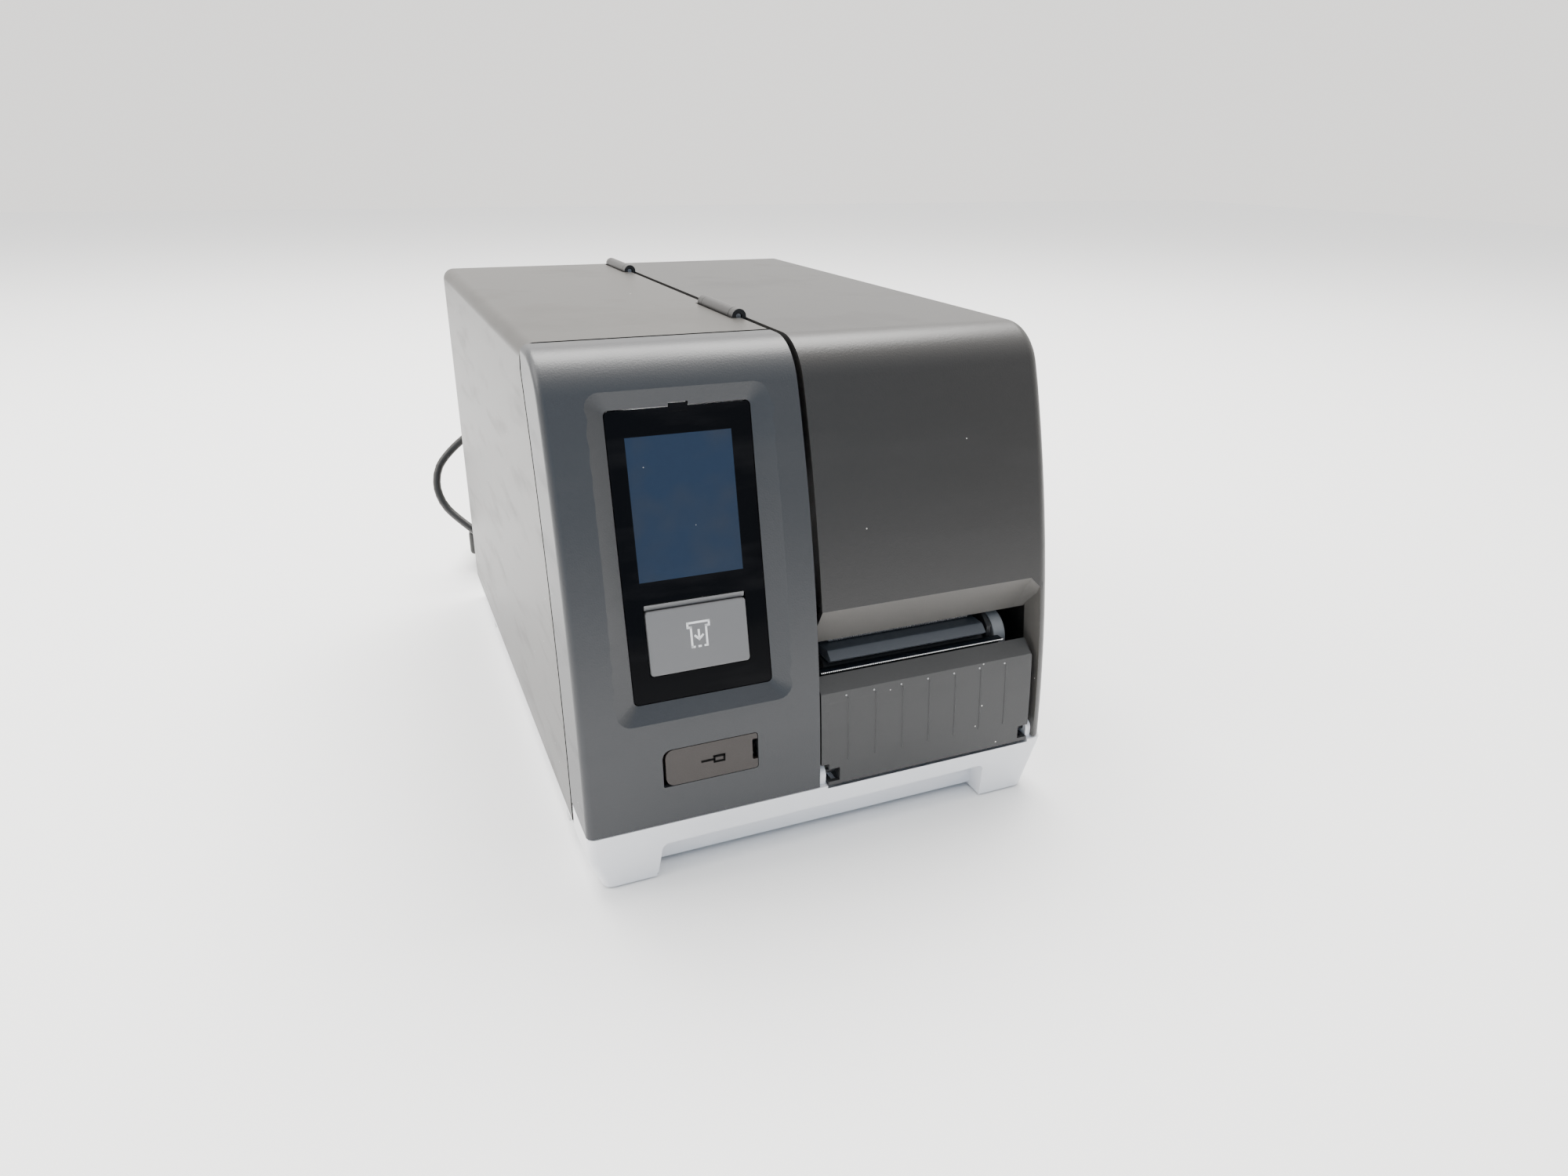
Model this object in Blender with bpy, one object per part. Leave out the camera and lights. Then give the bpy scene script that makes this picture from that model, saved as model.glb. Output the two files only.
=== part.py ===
"""A tabletop thermal label printer with a lift-up media cover, made of separate solids.

The frame is metres in Blender and millimetres in this script: +X is to the right as seen from the
front, +Y runs from the front to the rear, and +Z is up. The origin is the centre of the footprint,
on the surface that the rubber feet stand on.
"""

import math

import bmesh
import bpy
from mathutils import Matrix, Vector

MM = 0.001  # one millimetre, in Blender's metres

# Driving dimensions, in millimetres.
WIDTH = 284.0
DEPTH = 424.0
TOP = 275.6  # height of the flat top
WALL = 3.0  # thickness of the moulded covers
GAP = 0.4  # clearance between neighbours
FRONT_RADIUS = 709.0  # the front bows gently in side view
FRONT_LOWEST = 13.4  # height at which the front is furthest forward
BROW_RADIUS = 30.0  # round between the front and the top
BROW_CENTRE = (-142.1, TOP - BROW_RADIUS)
BROW_START = 161.3  # degrees, where the round leaves the front
BASE_TOP = 33.0
BEZEL_EDGE = -9.2  # right edge of the left half of the casing
COVER_EDGE = -5.8  # left edge of the media cover
SEAM_DEPTH = 38.0  # how far the bezel wraps round the left side
HINGE_AXIS = (-10.0, 276.2)  # x and z of the media cover's hinge
HINGE_RADIUS = 4.3
HINGES = {"hinge_barrel_front": (-88.0, -26.0), "hinge_barrel_rear": (150.0, 208.0)}  # y
KNUCKLE = 7.0  # length of each of the cover's knuckles
REAR_PANEL = (205.4, 208.4)  # y
PLATEN_AXIS = (-183.0, 91.5)  # y and z
DOOR_AXIS = (-204.0, 38.5)  # y and z
HEAD_AXIS = (-108.0, 112.0)  # y and z
LEVER_AXIS = (-176.0, 93.0)  # y and z
MOTOR_AXIS = (-120.0, 70.0)  # y and z
REWIND_AXIS = (-112.0, 200.0)  # y and z
SUPPLY_AXIS = (-20.0, 205.0)  # y and z
HANGER_AXIS = (95.0, 150.0)  # y and z
GUIDE_AXIS = (-62.0, 62.0)  # y and z
IDLER_AXIS = (-88.0, 74.0)  # y and z
CORD_DIAMETER = 6.8
INLET_CENTRE = (-110.0, 135.0)  # x and z
SWITCH_CENTRE = (-110.0, 170.0)  # x and z
ROCKER_Y = 205.8  # the rocker's axis

LEFT = -WIDTH / 2
RIGHT = WIDTH / 2
FRONT = -DEPTH / 2
REAR = DEPTH / 2

# colour, roughness, metallic
FINISHES = {
    "graphite_plastic": ((0.09, 0.085, 0.08), 0.5, 0.0),
    "door_plastic": ((0.07, 0.072, 0.075), 0.45, 0.0),
    "light_grey_plastic": ((0.68, 0.69, 0.71), 0.5, 0.0),
    "button_grey": ((0.33, 0.33, 0.33), 0.5, 0.0),
    "black_glass": ((0.006, 0.006, 0.007), 0.08, 0.0),
    "black_plastic": ((0.02, 0.02, 0.02), 0.5, 0.0),
    "black_rubber": ((0.025, 0.025, 0.025), 0.8, 0.0),
    "smoked_window": ((0.05, 0.05, 0.055), 0.1, 0.0),
    "steel": ((0.6, 0.6, 0.6), 0.3, 1.0),
    "aluminium": ((0.75, 0.76, 0.78), 0.4, 1.0),
    "circuit_board": ((0.02, 0.16, 0.06), 0.5, 0.0),
}

# ------------------------------------------------------------------ modelling helpers


def fresh_scene():
    """Clears the scene and gives the collections for the parts and for the cutters."""
    for old in list(bpy.data.objects):
        bpy.data.objects.remove(old)
    found = []
    for name in ("label_printer", "cutters"):
        collection = bpy.data.collections.new(name)
        bpy.context.scene.collection.children.link(collection)
        found.append(collection)
    return found


PARTS, CUTTERS = fresh_scene()


def material(finish):
    """The finish's material, made the first time that it is asked for."""
    if finish in bpy.data.materials:
        return bpy.data.materials[finish]
    colour, roughness, metallic = FINISHES[finish]
    made = bpy.data.materials.new(finish)
    made.use_nodes = True
    shader = made.node_tree.nodes["Principled BSDF"]
    shader.inputs["Base Color"].default_value = (*colour, 1.0)
    shader.inputs["Roughness"].default_value = roughness
    shader.inputs["Metallic"].default_value = metallic
    return made


def add(name, mesh, finish=None, matrix=None):
    """Puts a mesh in the scene: as a part if it has a finish, and as a hidden cutter if it has none."""
    thing = bpy.data.objects.new(name, mesh)
    if matrix is not None:
        thing.matrix_world = matrix
    if finish is None:
        CUTTERS.objects.link(thing)
        thing.hide_render = True
        thing.display_type = "WIRE"
        return thing
    PARTS.objects.link(thing)
    mesh.materials.clear()
    mesh.materials.append(material(finish))
    return thing


def box(name, low, high, finish=None, matrix=None):
    """A block between two corners."""
    shape = bmesh.new()
    bmesh.ops.create_cube(shape, size=1.0)
    size = Vector(high) - Vector(low)
    middle = (Vector(high) + Vector(low)) / 2
    bmesh.ops.scale(shape, vec=size * MM, verts=shape.verts)
    bmesh.ops.translate(shape, vec=middle * MM, verts=shape.verts)
    mesh = bpy.data.meshes.new(name)
    shape.to_mesh(mesh)
    shape.free()
    return add(name, mesh, finish, matrix)


TURNS = {
    "X": Matrix(((0, 0, 1), (1, 0, 0), (0, 1, 0))),
    "Y": Matrix(((1, 0, 0), (0, 0, -1), (0, 1, 0))),
    "Z": Matrix.Identity(3),
}
ALONG = {"X": Vector((1, 0, 0)), "Y": Vector((0, 1, 0)), "Z": Vector((0, 0, 1))}


def plate(name, axis, outline, start, end, finish=None, matrix=None):
    """A flat outline, drawn across an axis, with its thickness from start to end along that axis."""
    curve = bpy.data.curves.new(name, "CURVE")
    curve.dimensions = "2D"
    curve.fill_mode = "BOTH"
    curve.extrude = (end - start) / 2 * MM
    spline = curve.splines.new("POLY")
    spline.points.add(len(outline) - 1)
    for point, (across, up) in zip(spline.points, outline):
        point.co = (across * MM, up * MM, 0, 1)
    spline.use_cyclic_u = True
    drawn = bpy.data.objects.new(name, curve)
    bpy.context.scene.collection.objects.link(drawn)
    graph = bpy.context.evaluated_depsgraph_get()
    mesh = bpy.data.meshes.new_from_object(drawn.evaluated_get(graph))
    bpy.data.objects.remove(drawn)
    bpy.data.curves.remove(curve)
    shape = bmesh.new()
    shape.from_mesh(mesh)
    bmesh.ops.remove_doubles(shape, verts=shape.verts, dist=1e-6)
    bmesh.ops.dissolve_limit(shape, angle_limit=0.001, verts=shape.verts, edges=shape.edges)
    placed = Matrix.Translation(ALONG[axis] * (start + end) / 2 * MM) @ TURNS[axis].to_4x4()
    bmesh.ops.transform(shape, matrix=placed, verts=shape.verts)
    bmesh.ops.recalc_face_normals(shape, faces=shape.faces)
    shape.to_mesh(mesh)
    shape.free()
    return add(name, mesh, finish, matrix)


def rod(name, axis, centre, radius, start, end, finish=None, sides=24, end_radius=None):
    """A round bar, or a cone, along an axis. The centre is given across it, in the order X, Y, Z."""
    shape = bmesh.new()
    far = radius if end_radius is None else end_radius
    bmesh.ops.create_cone(
        shape,
        cap_ends=True,
        segments=sides,
        radius1=radius * MM,
        radius2=far * MM,
        depth=(end - start) * MM,
    )
    turn = {"X": Matrix.Rotation(math.pi / 2, 4, "Y"), "Y": Matrix.Rotation(-math.pi / 2, 4, "X")}
    middle = {
        "X": Vector(((start + end) / 2, *centre)),
        "Y": Vector((centre[0], (start + end) / 2, centre[1])),
        "Z": Vector((*centre, (start + end) / 2)),
    }[axis]
    placed = Matrix.Translation(middle * MM) @ turn.get(axis, Matrix.Identity(4))
    bmesh.ops.transform(shape, matrix=placed, verts=shape.verts)
    mesh = bpy.data.meshes.new(name)
    shape.to_mesh(mesh)
    shape.free()
    mesh.shade_smooth()
    mesh.set_sharp_from_angle(angle=math.radians(40))
    return add(name, mesh, finish)


def joined(target, operation, tools):
    """Adds one Boolean for each tool. The tools are cutters."""
    for tool in tools:
        modifier = target.modifiers.new(f"{operation.lower()}_{tool.name}", "BOOLEAN")
        modifier.operation = operation
        modifier.object = tool
    return target


def cut(target, *tools):
    return joined(target, "DIFFERENCE", tools)


def fuse(target, *tools):
    return joined(target, "UNION", tools)


def soften(target, radius, chosen, segments=3):
    """Rounds the edges whose middle point, in millimetres, is one that chosen picks."""
    shape = bmesh.new()
    shape.from_mesh(target.data)
    edges = []
    for edge in shape.edges:
        middle = (edge.verts[0].co + edge.verts[1].co) / 2 / MM
        if edge.calc_face_angle(0) > math.radians(35) and chosen(*middle):
            edges.append(edge)
    bmesh.ops.bevel(
        shape, geom=edges, offset=radius * MM, segments=segments, profile=0.5, affect="EDGES"
    )
    shape.to_mesh(target.data)
    shape.free()
    return target


def on_axis(target, point):
    """Moves an object's origin to a point on its joint's axis, and leaves its shape where it is."""
    origin = Vector(point) * MM
    target.data.transform(Matrix.Translation(-origin) @ target.matrix_world)
    target.matrix_world = Matrix.Translation(origin)
    return target


def arc(centre, radius, start, end, steps):
    """Points on an arc, from one angle to another in degrees."""
    points = []
    for step in range(steps + 1):
        angle = math.radians(start + (end - start) * step / steps)
        across = centre[0] + radius * math.cos(angle)
        points.append((across, centre[1] + radius * math.sin(angle)))
    return points


def front_y(z):
    """How far forward the casing's front is at a height."""
    return FRONT + (z - FRONT_LOWEST) ** 2 / (2 * FRONT_RADIUS)


def front_rise(low, inset=0.0, steps=7, high=None):
    """The front in side view, from a height up to where the brow starts or to another height."""
    brow = BROW_CENTRE[1] + BROW_RADIUS * math.sin(math.radians(BROW_START))
    last = brow if high is None else high
    heights = [low + (last - low) * step / steps for step in range(steps + (high is not None))]
    return [(front_y(height) + inset, height) for height in heights]


def front_and_top(low, back, inset=0.0):
    """The front, the brow and the top in side view, ending at back."""
    brow = arc(BROW_CENTRE, BROW_RADIUS - inset, BROW_START, 90, 5)
    return [*front_rise(low, inset), *brow, (back, TOP - inset)]


# ------------------------------------------------------------------ the base and its feet

FOOT_PLACES = {
    "foot_front_left": (-120.0, -190.0),
    "foot_front_right": (115.0, -190.0),
    "foot_rear_left": (-120.0, 185.0),
    "foot_rear_right": (115.0, 185.0),
}
FOOT_RADIUS = 9.0
FOOT_HEIGHT = 3.0
SIDE_SCREWS = {"side_screw_front": (-156.0, 13.0), "side_screw_rear": (118.0, 14.0)}
SCREW_RADIUS = 3.4


def base():
    """The moulded tray that everything stands on, with an arch between its front feet."""
    outline = [
        (LEFT, BASE_TOP),
        (LEFT, 18.0),
        (-135.0, 1.0),
        (130.5, 1.0),
        (140.5, 28.0),
        (RIGHT, BASE_TOP),
    ]
    tray = plate("base", "Y", outline, FRONT, REAR, "light_grey_plastic")
    soften(tray, 5.0, lambda x, y, z: abs(x) > 128 and abs(y) > 211 and 1.5 < z < 32.5, 2)
    arch = [(-105.7, -1.0), (-102.0, 20.5), (100.0, 22.0), (99.0, -1.0)]
    cut(
        tray,
        box("under_middle", (-105.7, -230, -5), (99.0, 230, 3.0)),
        box("under_sides", (-150, -168, -5), (150, 168, 3.0)),
        plate("front_arch", "Y", arch, FRONT - 5, FRONT + 12),
        plate("rear_arch", "Y", arch, REAR - 12, REAR + 5),
        box("left_pocket", (-132, -195, 15), (-20, 200, 60)),
        box("right_pocket", (2, -150, 15), (130, 200, 60)),
        box("skirt_recess", (-160, -175.4, 19.2), (-138.6, 230, 60)),
        box("door_sill", (-4.2, -230, 31.4), (130.8, -194, 60)),
        rod("door_trough", "X", DOOR_AXIS, 10.6, -4.2, 130.8),
    )
    for ear, (start, end) in {"ear_left": (-8.2, -4.4), "ear_right": (131.0, 134.4)}.items():
        top = arc(DOOR_AXIS, 5.0, 0, 180, 6)
        fuse(tray, plate(ear, "X", [(-209.0, 30.0), (-199.0, 30.0), *top], start, end))
    cut(tray, rod("door_bore_left", "X", DOOR_AXIS, 1.9, -9, -4, sides=12))
    cut(tray, rod("door_bore_right", "X", DOOR_AXIS, 1.9, 130, 135, sides=12))
    for name, place in FOOT_PLACES.items():
        cut(tray, rod(f"{name}_pocket", "Z", place, FOOT_RADIUS + GAP, -2, FOOT_HEIGHT + GAP))
    for name, place in SIDE_SCREWS.items():
        cut(tray, rod(f"{name}_pocket", "X", place, SCREW_RADIUS + GAP, LEFT - 5, -137.6))


def feet_and_side_screws():
    """The rubber pads under the base, and the screws that hold the left cover's lower edge."""
    for name, place in FOOT_PLACES.items():
        rod(name, "Z", place, FOOT_RADIUS, 0, FOOT_HEIGHT, "black_rubber")
    for name, place in SIDE_SCREWS.items():
        rod(name, "X", place, SCREW_RADIUS, LEFT + 0.4, -138.0, "steel", sides=16)


# ------------------------------------------------------------------ the fixed covers


def centre_wall():
    """The upright metal wall between the electronics and the media bay."""
    lean = front_rise(BASE_TOP + GAP, 14.0, 4, high=262.0)
    outline = [*lean, (205.0, 262.0), (205.0, BASE_TOP + GAP)]
    wall = plate("centre_wall", "X", outline, -14.5, -11.0, "aluminium")
    holes = {
        "platen_hole": (PLATEN_AXIS, 6.4),
        "rewind_hole": (REWIND_AXIS, 5.0),
        "supply_hole": (SUPPLY_AXIS, 5.0),
    }
    for name, (place, radius) in holes.items():
        cut(wall, rod(name, "X", place, radius, -20, -5, sides=20))


def left_cover():
    """The sheet that covers the left side and the left half of the top."""
    corner = 8.0
    outer = arc((LEFT + corner, TOP - corner), corner, 180, 90, 4)
    inner = arc((LEFT + corner, TOP - corner), corner - WALL, 90, 180, 4)
    outline = [(LEFT, 19.6), *outer, (BEZEL_EDGE, TOP), (BEZEL_EDGE, TOP - WALL), *inner]
    outline.append((LEFT + WALL, 19.6))
    cover = plate("left_cover", "Y", outline, -190.0, REAR, "graphite_plastic")
    seam = front_rise(10.0, SEAM_DEPTH + 1.6, 6, high=262.0)
    clear = [*seam, (-131.4, 276.0), (-131.4, 290.0), (-240.0, 290.0), (-240.0, 10.0)]
    cut(cover, plate("bezel_clearance", "X", clear, LEFT - 5, 0))
    for name, (start, end) in HINGES.items():
        cut(cover, box(f"{name}_left_notch", (-15.2, start - 0.8, 260), (0, end + 0.8, 290)))


def hinge_barrels():
    """The fixed half of each hinge: a barrel on an arm that stands on the centre wall."""
    for name, (start, end) in HINGES.items():
        low, high = start + KNUCKLE + GAP, end - KNUCKLE - GAP
        barrel = rod(name, "Y", HINGE_AXIS, HINGE_RADIUS, low, high, "graphite_plastic", 20)
        fuse(barrel, box(f"{name}_arm", (-14.2, low, 262.3), (-8.2, high, 275.0)))
        cut(barrel, rod(f"{name}_bore", "Y", HINGE_AXIS, 1.9, low - 2, high + 2, sides=12))


def rear_panel():
    """The upright panel that closes the back, with its connector holes and the fan-fold slot."""
    low, high = BASE_TOP + GAP, 271.4
    half = 138.4
    outline = [(-half, low), (half, low), (half, high - 5), (half - 5, high), (5 - half, high)]
    outline.append((-half, high - 5))
    panel = plate("rear_panel", "Y", outline, *REAR_PANEL, "black_plastic")
    holes = {
        "inlet_hole": (-124.4, -95.6, 124.6, 145.4),
        "switch_hole": (-119.4, -100.6, 157.6, 182.4),
        "network_hole": (-126.0, -109.0, 59.6, 74.4),
        "fanfold_slot": (6.0, 124.0, 42.0, 62.0),
    }
    for name, (left, right, bottom, top) in holes.items():
        cut(panel, box(name, (left, 200, bottom), (right, 215, top)))


# ------------------------------------------------------------------ the display side of the front

GLASS_X = -73.25
GLASS_LOW, GLASS_HIGH = 102.7, 247.6
GLASS_RECESS = 3.6
GLASS_TILT = math.atan((front_y(GLASS_HIGH) - front_y(GLASS_LOW)) / (GLASS_HIGH - GLASS_LOW))
GLASS_HALF_WIDTH = 37.75
GLASS_HALF_HEIGHT = (GLASS_HIGH - GLASS_LOW) / 2 / math.cos(GLASS_TILT)
GLASS_CENTRE = (
    GLASS_X,
    (front_y(GLASS_LOW) + front_y(GLASS_HIGH)) / 2 + GLASS_RECESS,
    (GLASS_LOW + GLASS_HIGH) / 2,
)
# On the glass: local X runs across it, local Z up it and local Y into the printer.
ON_GLASS = Matrix.Translation(Vector(GLASS_CENTRE) * MM) @ Matrix.Rotation(-GLASS_TILT, 4, "X")
BUTTON_LOW, BUTTON_HIGH = -60.5, -26.6  # on the glass
BUTTON_LEFT, BUTTON_RIGHT = -27.75, 26.25
FRAME_BACK, FRAME_SIDE = 3.6, 8.0  # how far the glass's frame goes behind it and beside it
FLAP = (-98.0, -46.4, 55.6, 76.3)  # left, right, low and high of the port cover
FLAP_AXIS = (-96.9, front_y(66.0) + 1.2)
FLAP_SWEEP = 1.5  # room at the hinged edge for the flap's corner to turn


def funnel(name, near, far, depth):
    """A cutter with a rectangle at each end: near on the glass, far in front of it."""
    shape = bmesh.new()
    bmesh.ops.create_cube(shape, size=2.0)
    for vertex in shape.verts:
        left, right, low, high = near if vertex.co.y > 0 else far
        across = right if vertex.co.x > 0 else left
        up = high if vertex.co.z > 0 else low
        inward = 0.0 if vertex.co.y > 0 else -depth
        vertex.co = Vector((across, inward, up)) * MM
    mesh = bpy.data.meshes.new(name)
    shape.to_mesh(mesh)
    shape.free()
    return add(name, mesh, matrix=ON_GLASS)


def display_bezel():
    """The front left cover: a bowed shell with a funnel-shaped recess round the glass."""
    seam = front_rise(33.5, SEAM_DEPTH, 6, high=262.0)
    outline = [*front_and_top(33.5, -133.0), *reversed(seam)]
    shell = plate("display_bezel", "X", outline, LEFT, BEZEL_EDGE, "graphite_plastic")
    soften(shell, 4.0, lambda x, y, z: x < LEFT + 1 and y < front_y(z) + 30 and z > 34, 3)
    inside = [*front_and_top(20.0, -90.0, WALL), (-90.0, 20.0)]
    cut(shell, plate("bezel_inside", "X", inside, LEFT + WALL, BEZEL_EDGE - WALL))
    deep = [*front_rise(20.0, 12.0, 5, high=262.0), (-80.0, 262.0), (-80.0, 20.0)]
    cut(shell, plate("bezel_right_return", "X", deep, BEZEL_EDGE - WALL - 1, 5.0))
    half, tall = GLASS_HALF_WIDTH + GAP, GLASS_HALF_HEIGHT + GAP
    back = [ON_GLASS @ (Vector((0, FRAME_BACK, end)) * MM) / MM for end in (tall + 7.0, -tall - 9.0)]
    block = front_rise(back[1].z, WALL / 2, 6, high=back[0].z)
    block += [(corner.y, corner.z) for corner in back]
    left, right = GLASS_X - half - FRAME_SIDE, GLASS_X + half + FRAME_SIDE
    fuse(shell, plate("glass_frame", "X", block, left, right))
    near = (-half, half, -tall, tall)
    far = (-half - 8.9, half + 8.9, -tall - 46.0, tall + 24.0)
    cut(
        shell,
        funnel("recess", near, far, 8.0),
        box("glass_hole", (-half, -1, -tall), (half, 20, tall), matrix=ON_GLASS),
    )
    left, right, low, high = FLAP
    hole_low, hole_high = (left - FLAP_SWEEP, -225, low - GAP), (right + GAP, -190, high + GAP)
    cut(shell, box("flap_hole", hole_low, hole_high))


def display_parts():
    """The glass, the liquid-crystal module and the front-panel board behind it."""
    low = (-GLASS_HALF_WIDTH, 0, -GLASS_HALF_HEIGHT)
    high = (GLASS_HALF_WIDTH, 1.8, GLASS_HALF_HEIGHT)
    glass = box("display_glass", low, high, "black_glass", ON_GLASS)
    slot_low = (BUTTON_LEFT - 0.45, -5, BUTTON_LOW - 0.45)
    slot_high = (BUTTON_RIGHT + 0.45, 9, BUTTON_HIGH + 3.6)
    cut(glass, box("button_slot", slot_low, slot_high, matrix=ON_GLASS))
    box("display_module", (-32.0, 2.2, -16.0), (30.0, 7.0, 65.0), "black_plastic", ON_GLASS)
    board = box("display_board", (-35, 9.4, -68), (35, 11.0, 70), "circuit_board", ON_GLASS)
    fuse(board, box("feed_switch", (-6, 5.8, -48), (4, 10, -38), matrix=ON_GLASS))


def feed_button():
    """The grey key under the screen, which slides in along the glass's normal."""
    low, high = (BUTTON_LEFT, -1.2, BUTTON_LOW), (BUTTON_RIGHT, 4.2, BUTTON_HIGH)
    box("feed_button", low, high, "button_grey", ON_GLASS)


def usb_cover():
    """The port's flap, flush with the bowed front and hinged on its left edge."""
    left, right, low, high = FLAP
    face = front_rise(low, 0.0, 3, high=high)
    back = front_rise(low, 2.2, 3, high=high)
    flap = plate("usb_cover", "X", [*face, *reversed(back)], left, right, "graphite_plastic")
    notch_low, notch_high = (-49.4, -225, 61.0), (-40.0, -190, 73.0)
    cut(flap, box("finger_notch", notch_low, notch_high))
    on_axis(flap, (*FLAP_AXIS, (low + high) / 2))


def socket(name, low, high, mouth, open_side, finish="steel"):
    """A connector shell with a hollow: mouth is the hollow's half width, half height and depth."""
    shell = box(name, low, high, finish)
    middle = [(low[0] + high[0]) / 2, 0.0, (low[2] + high[2]) / 2]
    half_width, half_height, depth = mouth
    start = high[1] - depth if open_side > 0 else low[1] - 5
    end = high[1] + 5 if open_side > 0 else low[1] + depth
    corner_low = (middle[0] - half_width, start, middle[2] - half_height)
    corner_high = (middle[0] + half_width, end, middle[2] + half_height)
    return cut(shell, box(f"{name}_hollow", corner_low, corner_high))


# ------------------------------------------------------------------ the media cover and the door

LIP_TOP = 137.0  # where the cover's front turns in under itself
LIP_LOW = (-186.0, 111.6)  # y and z of its lower edge
LIP_RIGHT = 136.4  # short of the cover's round right edge
LEG = (134.8, 139.6)  # x of the leg beside the label exit
LEG_INSET = 2.6  # keeps the leg behind the round right edge
WINDOW = (-88.0, 108.0, 92.0, 214.0)  # y and z of the side window


def media_cover():
    """The lift-up cover over the media bay: top, right side and upper front in one moulding."""
    outline = [*front_and_top(34.0, REAR), (REAR, 34.0)]
    cover = plate("media_cover", "X", outline, COVER_EDGE, RIGHT, "graphite_plastic")
    soften(cover, 8.0, lambda x, y, z: x > RIGHT - 1 and y < REAR - 1 and z > 34.5, 3)
    inside = [*front_and_top(10.0, 240.0, WALL), (240.0, 10.0)]
    cut(
        cover,
        plate("cover_inside", "X", inside, COVER_EDGE - 20, RIGHT - WALL),
        box("cover_mouth", (-30, -240, 0), (135.2, -180, LIP_TOP)),
    )
    lip_y = front_y(LIP_TOP)
    lip = [
        (lip_y + 0.3, LIP_TOP - 0.4),
        (lip_y + 0.9, LIP_TOP + 4),
        (lip_y + 2.4, LIP_TOP + 4),
        (LIP_LOW[0] + 3.0, LIP_LOW[1] + 1.4),
        LIP_LOW,
    ]
    leg = front_rise(34.2, LEG_INSET, 4, high=150.0)
    leg += reversed(front_rise(34.2, 16.0, 4, high=150.0))
    rim_end = REAR_PANEL[0] - 2 * GAP
    rim = front_and_top(LIP_TOP + 1, rim_end, 0.8)
    rim += reversed(front_and_top(LIP_TOP + 1, rim_end, 12.0))
    fuse(
        cover,
        plate("cover_lip", "X", lip, COVER_EDGE + 0.3, LIP_RIGHT),
        plate("cover_leg", "X", leg, *LEG),
        plate("cover_rim", "X", rim, COVER_EDGE + 0.3, COVER_EDGE + 2.6),
    )
    for name, (start, end) in HINGES.items():
        cut(cover, box(f"{name}_notch", (-20, start + KNUCKLE, 260), (-5.0, end - KNUCKLE, 290)))
        for side, low in (("near", start), ("far", end - KNUCKLE)):
            knuckle = f"{name}_{side}_knuckle"
            fuse(
                cover,
                rod(knuckle, "Y", HINGE_AXIS, HINGE_RADIUS, low, low + KNUCKLE, sides=20),
                box(f"{knuckle}_web", (-10, low + 0.3, 273.0), (-3.6, low + KNUCKLE - 0.3, 275.2)),
            )
        cut(cover, rod(f"{name}_pin_bore", "Y", HINGE_AXIS, 1.9, start - 2, end + 2, sides=12))
    front, back, low, high = WINDOW
    cut(cover, box("window_hole", (130, front, low), (150, back, high)))
    on_axis(cover, (HINGE_AXIS[0], 0, HINGE_AXIS[1]))


def side_window():
    """The smoked pane in the media cover's side."""
    front, back, low, high = WINDOW
    corner_low = (RIGHT - WALL + 0.4, front + GAP, low + GAP)
    pane = box("side_window", corner_low, (RIGHT - 0.6, back - GAP, high - GAP), "smoked_window")
    on_axis(pane, (HINGE_AXIS[0], 0, HINGE_AXIS[1]))


def hinge_pins():
    """The steel pins that the cover's knuckles carry through the barrels."""
    for name, (start, end) in HINGES.items():
        pin = name.replace("barrel", "pin")
        made = rod(pin, "Y", HINGE_AXIS, 1.5, start + 1.0, end - 1.0, "steel", sides=12)
        on_axis(made, (HINGE_AXIS[0], 0, HINGE_AXIS[1]))


DOOR_LEFT, DOOR_RIGHT = -3.6, 130.0
DOOR_LOW, DOOR_EDGE = 33.2, 90.4  # the lower edge, and where the front turns back to the tear bar
DOOR_WALL = 2.5


def front_door():
    """The ribbed flap below the label exit, with a lug and a moulded pivot at each end."""
    face = front_rise(DOOR_LOW, 0.0, 4, high=DOOR_EDGE)
    back = front_rise(DOOR_LOW, DOOR_WALL, 4, high=DOOR_EDGE - 2.0)
    outline = [*face, (-199.6, 97.4), (-199.6, 95.2), *reversed(back)]
    door = plate("front_door", "X", outline, DOOR_LEFT, DOOR_RIGHT, "door_plastic")
    cheek = [*front_rise(DOOR_LOW, 1.0, 3, high=DOOR_EDGE - 1.0), (-200.0, 96.0), (-200.0, DOOR_LOW)]
    lug = [(-210.0, DOOR_LOW + 0.2), (-199.6, DOOR_LOW + 0.2), *arc(DOOR_AXIS, 4.4, 0, 180, 6)]
    fuse(
        door,
        plate("cheek_left", "X", cheek, DOOR_LEFT, DOOR_LEFT + DOOR_WALL),
        plate("cheek_right", "X", cheek, DOOR_RIGHT - DOOR_WALL, DOOR_RIGHT),
    )
    for end, (start, stop) in {"left": (DOOR_LEFT - 1, 3.2), "right": (123.2, DOOR_RIGHT + 1)}.items():
        cut(door, box(f"door_notch_{end}", (start, -220, 20), (stop, -190, 43.6)))
    fuse(
        door,
        plate("lug_left", "X", lug, 3.0, 6.4),
        plate("lug_right", "X", lug, 120.0, 123.4),
        rod("pivot_left", "X", DOOR_AXIS, 1.5, -7.8, 5.0, sides=12),
        rod("pivot_right", "X", DOOR_AXIS, 1.5, 121.0, 134.0, sides=12),
    )
    on_axis(door, (0, *DOOR_AXIS))


# ------------------------------------------------------------------ the print mechanism

PLATEN_RADIUS = 8.5
SIDE_PLATE = (108.6, 111.4)  # x
PULLEY = (-32.0, -24.0)  # x of both pulleys
PLATEN_PULLEY_RADIUS = 16.0
MOTOR_PULLEY_RADIUS = 8.0
BELT_THICKNESS = 1.5


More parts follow.
